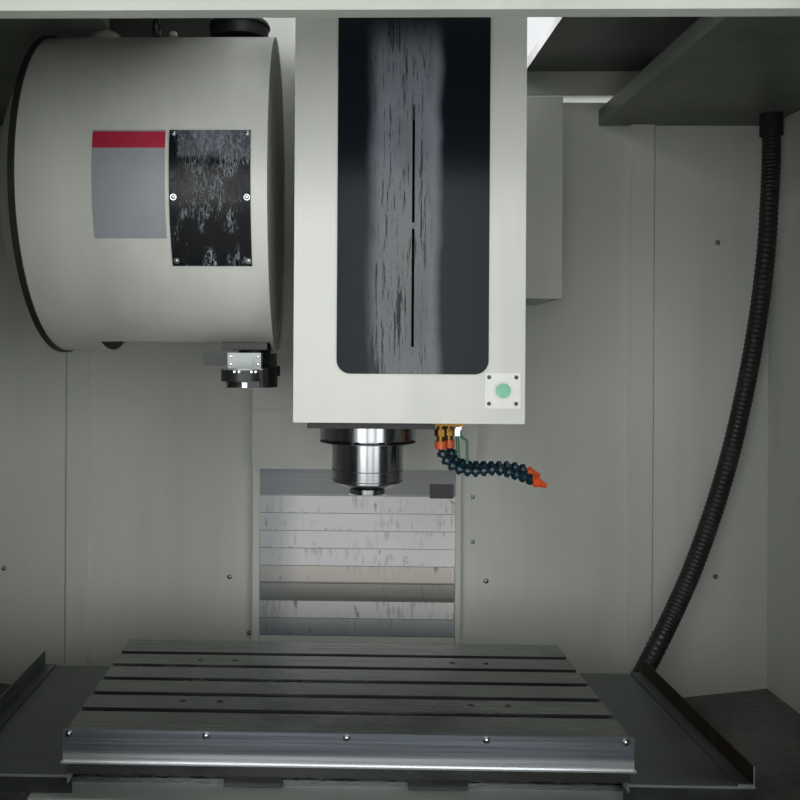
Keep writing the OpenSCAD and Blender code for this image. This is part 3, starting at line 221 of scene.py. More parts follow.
lamp("front_lamp_left", (-1.35, -4.6, 2.1), (-0.9, 0.2, 1.7), 1.6, 2.7, 70)
lamp("front_lamp_middle", (0.5, -4.6, 2.1), (0.5, 0.2, 1.7), 1.2, 2.7, 32)
lamp("front_lamp_right", (2.6, -4.6, 2.1), (1.6, 0.2, 1.7), 2.0, 2.7, 66)
lamp("roof_lamp", (0.1, -0.5, 3.4), (0.0, 0.0, 1.2), 1.0, 0.6, 5)
lamp("left_lamp", (-5.0, -2.0, 3.5), (0, 0.3, 1.2), 3.0, 3.0, 160)
lamp("right_lamp", (5.0, 1.0, 3.5), (0, 0.3, 1.2), 3.0, 3.0, 140)
lamp("back_lamp", (-1.0, 6.0, 3.6), (0, 0.5, 1.2), 3.0, 3.0, 140)

# Cable conduit: a black ribbed hose of 48 mm from the gland in the roof down to the bracket
# on the saddle. Its lower end moves with the saddle.
conduit_route = [(1.110, 0.540, 2.200), (1.110, 0.540, 2.110), (1.105, 0.538, 2.000),
    (1.094, 0.532, 1.860), (1.075, 0.524, 1.720), (1.050, 0.512, 1.590), (1.018, 0.496, 1.460),
    (0.981, 0.474, 1.340), (0.936, 0.448, 1.220), (0.887, 0.420, 1.110), (0.836, 0.392, 1.010),
    (0.782, 0.364, 0.920), (0.736, 0.342, 0.848), (0.704, 0.328, 0.800), (0.686, 0.322, 0.770),
    (0.684, 0.322, 0.740)]
conduit_d = 0.048


def smooth_route(points, step):
    """Points a given step apart on a smooth curve through the given ones."""
    p = [Vector(q) for q in points]
    fine, fine_steps = [], 40
    for i in range(len(p) - 1):
        a, b, c, d = p[max(i - 1, 0)], p[i], p[i + 1], p[min(i + 2, len(p) - 1)]
        for j in range(fine_steps):
            t = j / fine_steps
            fine.append(0.5 * ((2 * b) + (c - a) * t + (2 * a - 5 * b + 4 * c - d) * t * t
                + (3 * b - a - 3 * c + d) * t ** 3))
    fine.append(p[-1])
    kept, run = [fine[0]], 0.0
    for q, r in zip(fine, fine[1:]):
        run += (r - q).length
        if run >= step:
            kept.append(r)
            run = 0.0
    if (kept[-1] - p[-1]).length > step * 0.5:
        kept.append(p[-1])
    else:
        kept[-1] = p[-1]
    return kept


def place_mesh(name, verts, faces, finish):
    """An object made of these faces, smooth and facing outwards, in this finish."""
    mesh = bpy.data.meshes.new(name)
    mesh.from_pydata([tuple(v) for v in verts], [], faces)
    mesh.materials.append(finish.material)
    bm = bmesh.new()
    bm.from_mesh(mesh)
    bmesh.ops.recalc_face_normals(bm, faces=bm.faces)
    bm.to_mesh(mesh)
    bm.free()
    mesh.shade_smooth()
    o = bpy.data.objects.new(name, mesh)
    scene.collection.objects.link(o)
    return o


def swept(points, radius_at, sides):
    """A tube along points whose radius is radius_at(index), closed at both ends."""
    verts, faces = [], []
    side = Vector((0, 1, 0))
    for i, q in enumerate(points):
        way = (points[min(i + 1, len(points) - 1)] - points[max(i - 1, 0)]).normalized()
        side = (side - way * side.dot(way)).normalized()
        over = way.cross(side)
        for k in range(sides):
            turn = 2 * math.pi * k / sides
            verts.append(q + radius_at(i) * (math.cos(turn) * side + math.sin(turn) * over))
    for i in range(len(points) - 1):
        for k in range(sides):
            n = (k + 1) % sides
            faces.append((i * sides + k, i * sides + n, (i + 1) * sides + n, (i + 1) * sides + k))
    faces.append(tuple(range(sides)))
    faces.append(tuple((len(points) - 1) * sides + k for k in range(sides)))
    return verts, faces


conduit_black = Finish("conduit_black")
dust = conduit_black.noise(14.0, detail=5.0)
dusty = conduit_black.step(dust, 0.5, 0.75)
conduit_black.set(base_color=conduit_black.blend(dusty, tint("#1a1c1d"), tint("#35383a")),
    roughness=conduit_black.step(dust, 0.3, 0.7, 0.42, 0.62))
rib_step, rib_depth, conduit_sides = 0.0022, 0.0018, 28
conduit_line = smooth_route(conduit_route, rib_step)
rib_radius = [conduit_d / 2 - depth for depth in (0, 0.0004, rib_depth, rib_depth)]
verts, faces = swept(conduit_line, lambda i: rib_radius[i % len(rib_radius)], conduit_sides)
conduit = place_mesh("conduit_hose", verts, faces, conduit_black)
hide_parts("cable_conduit")
conduit_length = sum((b - a).length for a, b in zip(conduit_line, conduit_line[1:]))
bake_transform(conduit)

# Enclosure: folded sheet painted a pale grey green, and mid grey on the front frame that holds
# the door tracks. The ceiling is the same paint, coloured much darker as painted shade. The back
# wall has pressed strips and a few button screws, the side walls are double, and a sheet box
# stands beside the column.
def coat(finish, *nodes):
    """Gives CAD nodes this finish."""
    for name in nodes:
        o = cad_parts[name]
        o.data.materials.clear()
        o.data.materials.append(finish.material)


def round_edges(o, width, segments=2):
    """Rounds the edges of an object that turn by more than 40 degrees."""
    rounding = o.modifiers.new("eased_edges", "BEVEL")
    rounding.width = width
    rounding.segments = segments
    rounding.limit_method = "ANGLE"
    rounding.angle_limit = math.radians(40)


def eased(width, *nodes, segments=2):
    """Eases the sharp edges of CAD nodes, as a bent or machined edge is."""
    for name in nodes:
        round_edges(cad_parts[name], width, segments)


def sheet_paint(name, clean, dull, rough=0.42):
    """Sprayed paint on sheet metal, with a faint orange peel and a film of oil mist."""
    finish = Finish(name)
    film = finish.noise(1.7, detail=5.0)
    peel = finish.noise(260.0, detail=1.0)
    runs = finish.noise(5.0, stretch=(3.0, 3.0, 0.25), detail=4.0)
    misted = finish.step(film * 0.6 + runs * 0.4, 0.42, 0.68)
    finish.set(base_color=finish.blend(misted, tint(clean), tint(dull)),
        roughness=finish.step(film, 0.3, 0.7, rough - 0.06, rough + 0.1))
    return finish.bump(peel, 0.00012, 0.35)


coat(sheet_paint("wall_paint", "#dde0d8", "#d4d8cf"), "back_wall", "side_walls")
coat(sheet_paint("frame_paint", "#adb2aa", "#a6aba3"), "front_frame")
# The ceiling panels get a much darker colour than the walls as painted shade.
coat(sheet_paint("roof_painted_shade", "#676d66", "#595f58"), "roof_panels")
coat(sheet_paint("side_box_paint", "#c8cbc4", "#bbbfb7"), "column_side_box")
eased(0.0015, "back_wall", "side_walls", "roof_panels", "front_frame")
eased(0.002, "column_side_box")


class Stock:
    """Mesh stock: pieces are turned, cut and bent into it, and then it becomes one object."""

    def __init__(self):
        self.verts, self.faces = [], []

    def add(self, verts, faces):
        first = len(self.verts)
        self.verts += [Vector(v) for v in verts]
        self.faces += [tuple(i + first for i in face) for face in faces]
        return self

    def turned(self, profile, place, way, sides):
        """A turned piece: radii and heights along a way from a place, closed at both ends."""
        way = Vector(way).normalized()
        side = Vector((1, 0, 0)) if abs(way.x) < 0.9 else Vector((0, 1, 0))
        side = (side - way * side.dot(way)).normalized()
        over = way.cross(side)
        verts, faces = [], []
        for radius, height in profile:
            for k in range(sides):
                turn = 2 * math.pi * k / sides
                verts.append(Vector(place) + way * height
                    + max(radius, 1e-5) * (math.cos(turn) * side + math.sin(turn) * over))
        for i in range(len(profile) - 1):
            for k in range(sides):
                n = (k + 1) % sides
                faces.append((i * sides + k, i * sides + n, (i + 1) * sides + n, (i + 1) * sides + k))
        faces.append(tuple(range(sides))[::-1])
        faces.append(tuple((len(profile) - 1) * sides + k for k in range(sides)))
        return self.add(verts, faces)

    def profiled(self, outline, place, right, up, depth):
        """A flat outline, given along right and up from a place, made as thick as depth."""
        right, up, place = Vector(right), Vector(up), Vector(place)
        through = right.cross(up).normalized() * depth
        n = len(outline)
        verts = [place + right * x + up * y for x, y in outline]
        verts += [v + through for v in verts]
        faces = [tuple(range(n))[::-1], tuple(range(n, 2 * n))]
        faces += [(i, (i + 1) % n, (i + 1) % n + n, i + n) for i in range(n)]
        return self.add(verts, faces)

    def block(self, low, high):
        """A block between two opposite corners."""
        (a, b, c), (d, e, f) = low, high
        corners = [(0, 0), (d - a, 0), (d - a, e - b), (0, e - b)]
        return self.profiled(corners, low, (1, 0, 0), (0, 1, 0), f - c)

    def bent(self, points, radius, sides=16):
        """A round bar or pipe along points."""
        return self.add(*swept([Vector(p) for p in points], lambda i: radius, sides))

    def piece(self, name, finish, body, slot, ease=0.0):
        """Makes the stock one object in this finish and on this body. The slot is not used."""
        o = place_mesh(name, self.verts, self.faces, finish)
        o.data.set_sharp_from_angle(angle=math.radians(35))
        if ease:
            round_edges(o, ease)
        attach(o, body)
        return o


def button_screw(stock, place, way, d):
    """A button-head screw on its washer, with the hexagon socket in its head."""
    r = d / 2
    stock.turned([(r * 1.25, 0), (r * 1.25, r * 0.16), (r, r * 0.16), (r * 0.98, r * 0.4),
        (r * 0.8, r * 0.72), (r * 0.55, r * 0.86), (r * 0.42, r * 0.88)], place, way, 20)
    way = Vector(way).normalized()
    stock.turned([(r * 0.42, 0), (r * 0.4, r * 0.012)], Vector(place) + way * r * 0.885, way, 6)


def mottled(name, scale, first, second, detail=3.0, **sockets):
    """A finish whose colour wanders between two close tones, and is even in all else."""
    finish = Finish(name)
    tone = finish.blend(finish.noise(scale, detail=detail), tint(first), tint(second))
    return finish.set(base_color=tone, **sockets)


screw_steel = mottled("screw_steel", 90.0, "#8f9293", "#b3b6b6", metallic=1.0, roughness=0.32)
wall_screws = Stock()
wall_face_y = 0.66
for x, z in ((-0.3649, 0.9331), (-0.308, 0.7725), (0.3304, 1.1702), (0.3304, 1.0415), (0.3703, 0.9303),
        (1.02, 0.95), (-1.02, 0.95), (1.02, 1.9), (-1.02, 1.9)):
    button_screw(wall_screws, (x, wall_face_y, z), (0, -1, 0), 0.012)
wall_screws.piece("wall_screws", screw_steel, "frame", "rail_steel")

# Floor of the room: sheet pans that slope to the trough, wet with oil and strewn with fine
# chips. They are painted dark grey, and stained towards the low edge.
pan_paint = Finish("pan_paint")
stain = pan_paint.noise(4.0, detail=8.0, rough=0.7)
dry_z, wet_z = 0.64, 0.56
low = pan_paint.step(pan_paint.axis("Z"), dry_z, wet_z)
stained = pan_paint.step(stain + low * 0.25, 0.5, 0.72)
pan_paint.set(base_color=pan_paint.blend(stained, tint("#555a55"), tint("#2f322e")),
    roughness=pan_paint.step(stain, 0.35, 0.65, 0.2, 0.42))
pan_paint.bump(pan_paint.noise(420.0, detail=2.0), 0.0003, 0.4)
coat(pan_paint, "chip_pans")
eased(0.001, "chip_pans")

# Bed, column, saddle and head casting: grey iron castings, filled and painted, with a fine
# texture from the mould. The head casting is coloured dark as painted shade from the hood
# above it. Rails and screws of ground steel are bolted to their machined faces, the motor on
# top of the column is black, and iron feet carry the bed.
cast_paint = Finish("cast_paint")
mould_grain = cast_paint.noise(26.0, detail=6.0, rough=0.6)
worn = cast_paint.step(cast_paint.noise(2.0, detail=4.0), 0.35, 0.7)
cast_paint.set(base_color=cast_paint.blend(worn, tint("#bcc2bb"), tint("#aeb5ad")), roughness=0.5)
cast_paint.bump(mould_grain, 0.0012, 0.35)
coat(cast_paint, "bed", "column", "saddle", "magazine_bracket")
eased(0.004, "bed", "column", "saddle", "headstock", "magazine_bracket")
# The head casting's dark colour is painted shade, standing in for the hood's shadow over it.
coat(mottled("head_casting_painted_shade", 9.0, "#2b2e2d", "#3c3f3d", detail=4.0, roughness=0.55), "headstock")


def ground_finish(name):
    """A finish for ground steel, with the lay of its grinding and the colour that gives."""
    finish = Finish(name)
    lay = finish.noise(30.0, stretch=(1.0, 14.0, 14.0), detail=4.0)
    return finish, lay, finish.blend(lay, tint("#8c9092"), tint("#b5b8b9"))


ground_steel, lay, steel = ground_finish("ground_steel")
ground_steel.set(base_color=steel, metallic=1.0, roughness=ground_steel.step(lay, 0.3, 0.7, 0.2, 0.36))
coat(ground_steel, "x_rails", "y_screw", "z_screw", "x_screw", "tool_disc", "drawbar")
eased(0.001, "rails_and_motors", "x_rails", "tool_disc")

rail_set, lay, steel = ground_finish("rail_set")
motor_foot_z = 2.43
motor = rail_set.axis("Z") > motor_foot_z
rail_set.set(base_color=rail_set.blend(motor, steel, tint("#1d1f21")), metallic=1 - motor,
    roughness=rail_set.step(lay, 0.3, 0.7, 0.25, 0.42))
coat(rail_set, "rails_and_motors")

foot_iron = mottled("foot_iron", 40.0, "#3f4447", "#5b6062", detail=5.0, metallic=0.6, roughness=0.5)
foot_iron.bump(foot_iron.noise(150.0, detail=3.0), 0.0005, 0.5)
coat(foot_iron, "levelling_feet")
eased(0.002, "levelling_feet")

# Head cover: a folded hood, sprayed off-white, with rounded folds at its corners and screws
# along its sides. The dark acrylic panel on its front is slotted and wet with drips, and a
# screwed plate beside it holds the green release button.
hood_paint = sheet_paint("hood_paint", "#cacdc6", "#bfc3ba", 0.36)
coat(hood_paint, "head_cover", "rear_cover")
eased(0.004, "head_cover", segments=3)
eased(0.0012, "rear_cover")
hood_screws = Stock()
hood_left, hood_right, hood_screw_y = -0.1475, 0.27, -0.10
for z in (2.158, 1.818, 1.711):
    button_screw(hood_screws, (hood_left, hood_screw_y, z), (-1, 0, 0), 0.011)
    button_screw(hood_screws, (hood_right, hood_screw_y, z), (1, 0, 0), 0.011)
hood_screws.piece("hood_screws", screw_steel, "head", "rail_steel")

panel_acrylic = Finish("panel_acrylic")
panel_x, panel_z = panel_acrylic.axis("X"), panel_acrylic.axis("Z")
ragged_x = panel_x + panel_acrylic.noise(9.0, detail=2.0) * 0.02
runs = panel_acrylic.noise(150.0, stretch=(1.0, 1.0, 0.06), detail=6.0, rough=0.75)
beads = panel_acrylic.noise(420.0, stretch=(1.0, 1.0, 0.55), detail=2.0)
# The film of coolant lies between two ragged edges and ends below the panel's top
film = (panel_acrylic.step(ragged_x, -0.012, 0.022) * panel_acrylic.step(ragged_x, 0.134, 0.112)
    * panel_acrylic.step(panel_z, 2.19, 2.10))
cloud = panel_acrylic.noise(11.0, stretch=(1.0, 1.0, 0.5), detail=4.0)
dark_run = (panel_acrylic.step(runs + cloud * 0.12, 0.60, 0.66)
    * panel_acrylic.step(panel_x, 0.108, 0.08))
grey = panel_acrylic.blend(panel_acrylic.step(panel_z, 1.75, 2.0), tint("#5d605e"), tint("#666a78"))
misty = panel_acrylic.blend(beads, grey, tint("#7f8286"))
covered = film * (1 - dark_run * 0.85) * panel_acrylic.step(cloud, 0.2, 0.6, 0.62, 0.95)
panel_acrylic.set(base_color=panel_acrylic.blend(covered, tint("#0c141a"), misty),
    roughness=film * 0.3 + 0.2, specular_ior_level=0.12)
panel_acrylic.bump(beads * film, 0.0004, 0.4)
coat(panel_acrylic, "head_panel")
eased(0.0008, "head_panel")

coat(mottled("plate_grey", 30.0, "#e4e6e0", "#dadcd6", roughness=0.42), "button_plate")
eased(0.0006, "button_plate")
mint = Finish("button_mint")
faded = mint.step(mint.noise(60.0), 0.4, 0.7)
mint.set(base_color=mint.blend(faded, tint("#5fae8b"), tint("#77c2a2")), roughness=0.3,
    coat_weight=0.3)
coat(mint, "release_button")
eased(0.0015, "release_button", segments=3)
dark_steel = mottled("dark_steel", 80.0, "#3a3d3f", "#5c6062", metallic=0.9, roughness=0.38)
plate_screws = Stock()
plate_face_y = -0.2815
for x in (0.2053, 0.2539):
    for z in (1.4857, 1.5332):
        button_screw(plate_screws, (x, plate_face_y, z), (0, -1, 0), 0.006)
plate_screws.piece("button_plate_screws", dark_steel, "head", "rail_steel")

# Spindle: a turned and ground steel cartridge in its bolted flange, with the nose, the drive
# keys and the taper bore. Grinding leaves fine rings round it. Its motor is painted black.
turned_steel = Finish("turned_steel")
rings = turned_steel.noise(60.0, stretch=(0.3, 0.3, 12.0), detail=4.0)
turned_steel.set(base_color=turned_steel.blend(rings, tint("#85888a"), tint("#94979a")), metallic=1.0,
    roughness=turned_steel.step(rings, 0.3, 0.7, 0.13, 0.2))
turned_steel.bump(rings, 0.0001, 0.12)
coat(turned_steel, "spindle_housing", "spindle_shaft")
eased(0.0012, "spindle_housing", "spindle_shaft")
flange_bolts = Stock()
bolt_n, bolt_circle, flange_z = 8, 0.088, 1.396
for k in range(bolt_n):
    turn = math.radians(22.5 + 45 * k)
    place = (bolt_circle * math.cos(turn), bolt_circle * math.sin(turn), flange_z)
    flange_bolts.turned([(0.0065, 0), (0.0065, 0.006), (0.0058, 0.007), (0.0034, 0.007)], place,
        (0, 0, -1), 20)
flange_bolts.piece("flange_bolts", dark_steel, "head", "rail_steel")
nose_rings = Stock()
for z, r in ((1.3885, 0.1014), (1.3300, 0.0754), (1.3085, 0.0752)):
    nose_rings.turned([(r - 0.004, 0), (r, 0.0004), (r, 0.0022), (r - 0.004, 0.0026)], (0, 0, z),
        (0, 0, 1), 96)
nose_rings.piece("cartridge_rings", dark_steel, "head", "rail_steel")
motor_paint = mottled("motor_paint", 12.0, "#1b1d1f", "#2a2d2f", detail=5.0, roughness=0.45)
motor_paint.bump(motor_paint.noise(200.0, detail=2.0), 0.0003, 0.4)
coat(motor_paint, "spindle_motor", "changer_motor")
eased(0.002, "spindle_motor")

# Coolant: a brass block with two stub valves, and two hoses of snap-together links with
# orange nozzles. A thin green air tube hangs beside them from a bright fitting.
valve_brass = Finish("valve_brass")
tarnish = valve_brass.noise(55.0, detail=5.0)
nut_top_z = 1.397
socket_nut = valve_brass.axis("Z") < nut_top_z
brass = valve_brass.blend(tarnish, tint("#5d4420"), tint("#8a6a35"))
valve_brass.set(base_color=valve_brass.blend(socket_nut, brass, tint("#e4602c")),
    metallic=1 - socket_nut, roughness=valve_brass.step(tarnish, 0.3, 0.7, 0.25, 0.45))
coat(valve_brass, "coolant_manifold")
eased(0.0008, "coolant_manifold")
bright_steel = mottled("bright_steel", 70.0, "#a9acae", "#c2c5c6", metallic=1.0, roughness=0.16)
coat(bright_steel, "valve_lever")
eased(0.0008, "valve_lever")

hose_plastic = Finish("hose_plastic")
nozzle_x = 0.3277
nozzle_end = hose_plastic.axis("X") > nozzle_x
scuff = hose_plastic.noise(130.0, detail=4.0)
links = hose_plastic.blend(scuff, tint("#06222f"), tint("#0d3443"))
nozzle = hose_plastic.blend(scuff, tint("#e35426"), tint("#f0662f"))
hose_plastic.set(base_color=hose_plastic.blend(nozzle_end, links, nozzle), roughness=0.34)
coat(hose_plastic, "coolant_hoses")
eased(0.0006, "coolant_hoses")
air_pipes, pipe_nuts = Stock(), Stock()
thin_pipe = [(0.186, -0.070, 1.432), (0.186, -0.070, 1.412), (0.190, -0.070, 1.405),
    (0.1965, -0.070, 1.401), (0.1995, -0.070, 1.394), (0.2, -0.070, 1.352)]
thick_pipe = [(0.181, -0.056, 1.432), (0.182, -0.056, 1.400), (0.1845, -0.056, 1.364)]
for line, radius in ((thin_pipe, 0.0026), (thick_pipe, 0.0034)):
    air_pipes.bent(smooth_route(line, 0.003), radius)
    pipe_nuts.turned([(0.0058, 0), (0.0058, 0.010), (0.0045, 0.012)], (line[0][0], line[0][1], 1.430),
        (0, 0, -1), 6)
pipe_green = mottled("pipe_green", 90.0, "#2a6a48", "#3b8560", roughness=0.25)
air_pipes.piece("air_pipes", pipe_green, "head", "hose_blue")
pipe_nuts.piece("air_pipe_nuts", bright_steel, "head", "rail_steel")

# Way cover on the column: nine telescopic plates of brushed stainless, each folded at its
# lower edge with a wiper. Coolant has left streaks down them. Each plate's tone, set by its
# height, is painted light and shade: near white painted reflection on some, dark painted
# shade on others, and a bluish painted shade and reflection towards the left. A rubber strip
# seals under the lowest plate, and a plain dark tag is stuck on the top one.
cover_plate = Finish("cover_plate")
brushed = cover_plate.noise(40.0, stretch=(0.05, 1.0, 6.0), detail=5.0)
fine_run = cover_plate.noise(95.0, stretch=(1.0, 30.0, 0.12), detail=5.0, rough=0.7)
drip = cover_plate.noise(30.0, stretch=(1.0, 90.0, 0.5), detail=3.0, rough=0.6)
patches = cover_plate.noise(9.0, stretch=(1.0, 160.0, 2.0), detail=3.0)
streaks = cover_plate.step(fine_run * 0.6 + patches * 0.4, 0.53, 0.62) * 0.45
marks = streaks + cover_plate.step(drip, 0.66, 0.72) * 0.8
cover_z = cover_plate.axis("Z")
ramp_foot_z, ramp_top_z = 0.777, 1.277
# The plates' tones by height are painted light and shade: near white painted reflection and dark painted
# shade, in bands and gradients.
tone = cover_plate.node("ShaderNodeMapRange", {},
    {"Value": cover_z, "From Min": ramp_foot_z, "From Max": ramp_top_z})
plates = cover_plate.node("ShaderNodeValToRGB", {"stops": [(0.0, tint("#8e9296")), (0.098, tint("#c6cacc")),
    (0.102, tint("#f6f6f4")), (0.198, tint("#fafaf8")), (0.202, tint("#55534b")), (0.299, tint("#b3b0a6")),
    (0.302, tint("#57544c")), (0.312, tint("#e4ded5")), (0.4, tint("#eee8df")), (0.404, tint("#fdfdfd")),
    (0.8, tint("#f8f9fa")), (0.806, tint("#84878a"))]}, {"Fac": tone})
top_part = cover_plate.step(cover_z, 1.1775, 1.1785)
# Painted bluish shade and reflection towards the left side of the plates.
shaded = cover_plate.step(cover_plate.axis("X") + patches * 0.06, -0.22, -0.12, 0.5, 0.0)
brushed_painted_light = cover_plate.blend(brushed * 0.2, plates, tint("#dfe1e2"))
clean = cover_plate.blend(shaded, brushed_painted_light, tint("#76828c"))
stained = marks.math("MINIMUM", 1.0) * (1 - top_part) * 0.7
cover_plate.set(base_color=cover_plate.blend(stained, clean, tint("#56524d")), metallic=0.05,
    roughness=cover_plate.step(brushed, 0.3, 0.7, 0.3, 0.42) + marks * 0.1)
cover_plate.bump(brushed, 0.0002, 0.3)
plate_nodes = ["z_cover_%d" % k for k in range(1, 10)]
coat(cover_plate, *plate_nodes)
rubber_black = mottled("rubber_black", 60.0, "#101112", "#26282a", detail=4.0, roughness=0.6)
end_gap, set_out, hang = 0.001, 0.0002, 0.0012
for k, name in enumerate(plate_nodes):
    low_corner, high_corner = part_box(name)
    lip = Stock()
    lip.profiled([(0, 0), (0.0016, 0), (0.0016, 0.0026), (0.0004, 0.0034), (0, 0.0034)],
        (low_corner[0] + end_gap, low_corner[1] + set_out, low_corner[2] - hang), (0, 1, 0), (0, 0, 1),
        high_corner[0] - low_corner[0] - 2 * end_gap)
    body = "head" if k == 0 else "frame" if k == 8 else name
    lip.piece("wiper_%d" % (k + 1), rubber_black, body, "rubber_black")

low_corner, high_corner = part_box("z_cover_9")
seal = Stock()
seal.block((low_corner[0] + 0.003, 0.6555, 0.7570), (high_corner[0] - 0.003, 0.6602, 0.7768))
seal.piece("lower_seal", rubber_black, "frame", "rubber_black")
cover_tag = mottled("cover_tag", 60.0, "#26282a", "#34373a", roughness=0.35)
tag = Stock()
tag.block((0.2025, 0.6108, 1.1720), (0.2695, 0.6118, 1.2125))
tag.piece("cover_tag", cover_tag, "head", "panel_black", ease=0.0004)

# Table: a fine-grained iron casting, ground on top, with five T-slots and two rows of tapped
# holes, shown as thin dark discs of painted shade. The apron plate hangs on its front edge by
# five button screws.
table_iron = Finish("table_iron")
lay = table_iron.noise(55.0, stretch=(0.05, 3.0, 1.0), detail=5.0)
wear = table_iron.noise(5.0, stretch=(0.5, 1.6, 1.0), detail=6.0, rough=0.65)
dulled = table_iron.step(wear, 0.35, 0.7)
table_iron.set(base_color=table_iron.blend(dulled, tint("#676b69"), tint("#7f8380")), metallic=0.85,
    roughness=table_iron.step(lay * 0.5 + wear * 0.5, 0.35, 0.65, 0.17, 0.32))
table_iron.bump(lay, 0.0002, 0.35)
coat(table_iron, "table")
eased(0.0008, "table")
apron_steel = Finish("apron_steel")
apron_lay = apron_steel.noise(45.0, stretch=(0.04, 1.0, 5.0), detail=4.0)
low_band = apron_steel.step(apron_steel.axis("Z"), 0.866, 0.852)
apron_grey = apron_steel.blend(apron_lay, tint("#747c84"), tint("#8f979e"))
apron_steel.set(base_color=apron_steel.blend(low_band, apron_grey, tint("#e4e8ea")), metallic=0.8,
    roughness=apron_steel.step(apron_lay, 0.3, 0.7, 0.3, 0.44))
apron_steel.bump(apron_lay, 0.0002, 0.3)
coat(apron_steel, "table_apron")
eased(0.0012, "table_apron")
apron_screws = Stock()
apron_face_y, apron_screw_z, table_top = -0.313, 0.8935, 0.9
for x in (-0.5437, -0.2976, -0.048, 0.1988, 0.443):
    button_screw(apron_screws, (x, apron_face_y, apron_screw_z), (0, -1, 0), 0.0105)
apron_screws.piece("apron_screws", bright_steel, "table", "rail_steel")
# Each tapped hole is a thin dark disc on the table top: painted shade in place of the hole's depth.
hole_painted_shade = mottled("hole_painted_shade", 200.0, "#121314", "#232526", roughness=0.5)
tapped_holes = Stock()
for x, y in ((-0.3626, 0.0587), (-0.2851, 0.0565), (0.1903, 0.0605), (0.2639, 0.059),
        (-0.3618, -0.174), (-0.2897, -0.174), (0.1943, -0.174), (0.2647, -0.174)):
    tapped_holes.turned([(0.0062, 0), (0.0062, 0.0003), (0.0046, 0.0003), (0.0043, 0.0001)],
        (x, y, table_top), (0, 0, 1), 20)
tapped_holes.piece("tapped_holes", hole_painted_shade, "table", "table_iron")

# X way covers: bent steel sheets that ride with the table over the saddle's ends, oily and
# dull, each with a raised lip at its outer end. The bright line along the front fold is a
# painted highlight.
cover_steel = Finish("cover_steel")
smear = cover_steel.noise(5.0, stretch=(1.0, 2.4, 1.0), detail=7.0, rough=0.62)
oily = cover_steel.blend(cover_steel.step(smear, 0.35, 0.7), tint("#4c5250"), tint("#6a706e"))
lip_x, lip_z, fold_y, fold_z = 0.6825, 0.8005, -0.2725, 0.7965
lip_edge = (cover_steel.axis("X") > lip_x) * (cover_steel.axis("Z") > lip_z)
# A bright line painted along the front fold as a highlight.
fold_painted_highlight = (cover_steel.axis("Y") < fold_y) * (cover_steel.axis("Z") > fold_z)
rusty = cover_steel.blend(lip_edge, oily, tint("#33261c"))
cover_steel.set(base_color=cover_steel.blend(fold_painted_highlight, rusty, tint("#c9cdcc")), metallic=0.75,
    roughness=cover_steel.step(smear, 0.3, 0.7, 0.28, 0.5))
cover_steel.bump(cover_steel.noise(300.0, detail=2.0), 0.0002, 0.25)
coat(cover_steel, "x_covers")
eased(0.001, "x_covers")

# Tool magazine: a rolled and sprayed drum cover with a black rubber seal round its left rim. A
# dark window plate under wrinkled film is screwed on, a bare plate is glued beside it, and a
# lifting eye, a breather and a small dome stand on top.
coat(hood_paint, "drum_cover")
eased(0.002, "drum_cover")
coat(rubber_black, "drum_rim_seal")
eased(0.002, "drum_rim_seal", segments=3)
window_film = Finish("window_film")
film_x, film_z = window_film.axis("X"), window_film.axis("Z")
wave = window_film.noise(24.0, detail=3.0) * 0.03
bend = window_film.noise(36.0, stretch=(1.5, 1.0, 0.32), detail=5.0, rough=0.6) - 0.5
crease = window_film.step(bend * bend, 0.0004, 0.0)
fine = window_film.noise(90.0, stretch=(1.3, 1.0, 0.4), detail=4.0) - 0.5
wrinkle = window_film.step(fine * fine, 0.0009, 0.0)
loose = window_film.step(window_film.noise(17.0, stretch=(1.2, 1.0, 0.5), detail=4.0), 0.47, 0.6)
low_part = window_film.step(film_z + wave, 1.86, 1.80, 0.35, 1.0)
# A lighter band along the window's top and a lighter oval near its top middle are painted reflections.
reflection_band = window_film.step(film_z + wave, 1.938, 1.952) * window_film.step(film_x, -0.366, -0.352)
from_x, from_z = film_x + 0.302, film_z - 1.968
reflection_oval = window_film.step(from_x * from_x * 0.9 + from_z * from_z, 0.0009, 0.0006)
white = crease * loose * low_part * 0.9 + wrinkle * loose * 0.35
painted_reflections = (reflection_band * 0.55 + reflection_oval * 0.45).math("MINIMUM", 0.85)
window_film.set(base_color=window_film.blend(white.math("MINIMUM", 1.0),
    window_film.blend(painted_reflections, tint("#101316"), tint("#63666f")), tint("#a9aeb2")), roughness=0.24,
    specular_ior_level=0.15)
window_film.bump(crease * loose + wrinkle * 0.3, 0.0008, 0.6)
coat(window_film, "drum_window")
eased(0.0006, "drum_window")
drum_y, drum_z, drum_r, window_t = 0.06, 1.914, 0.335, 0.003
drum_screws = Stock()
for x in (-0.369, -0.2345):
    for z in (1.746, 1.858, 1.974):
        reach = math.sqrt((drum_r + window_t) ** 2 - (z - drum_z) ** 2)
        button_screw(drum_screws, (x, drum_y - reach, z), (0, -reach, z - drum_z), 0.009)
drum_screws.piece("window_screws", bright_steel, "frame", "rail_steel")

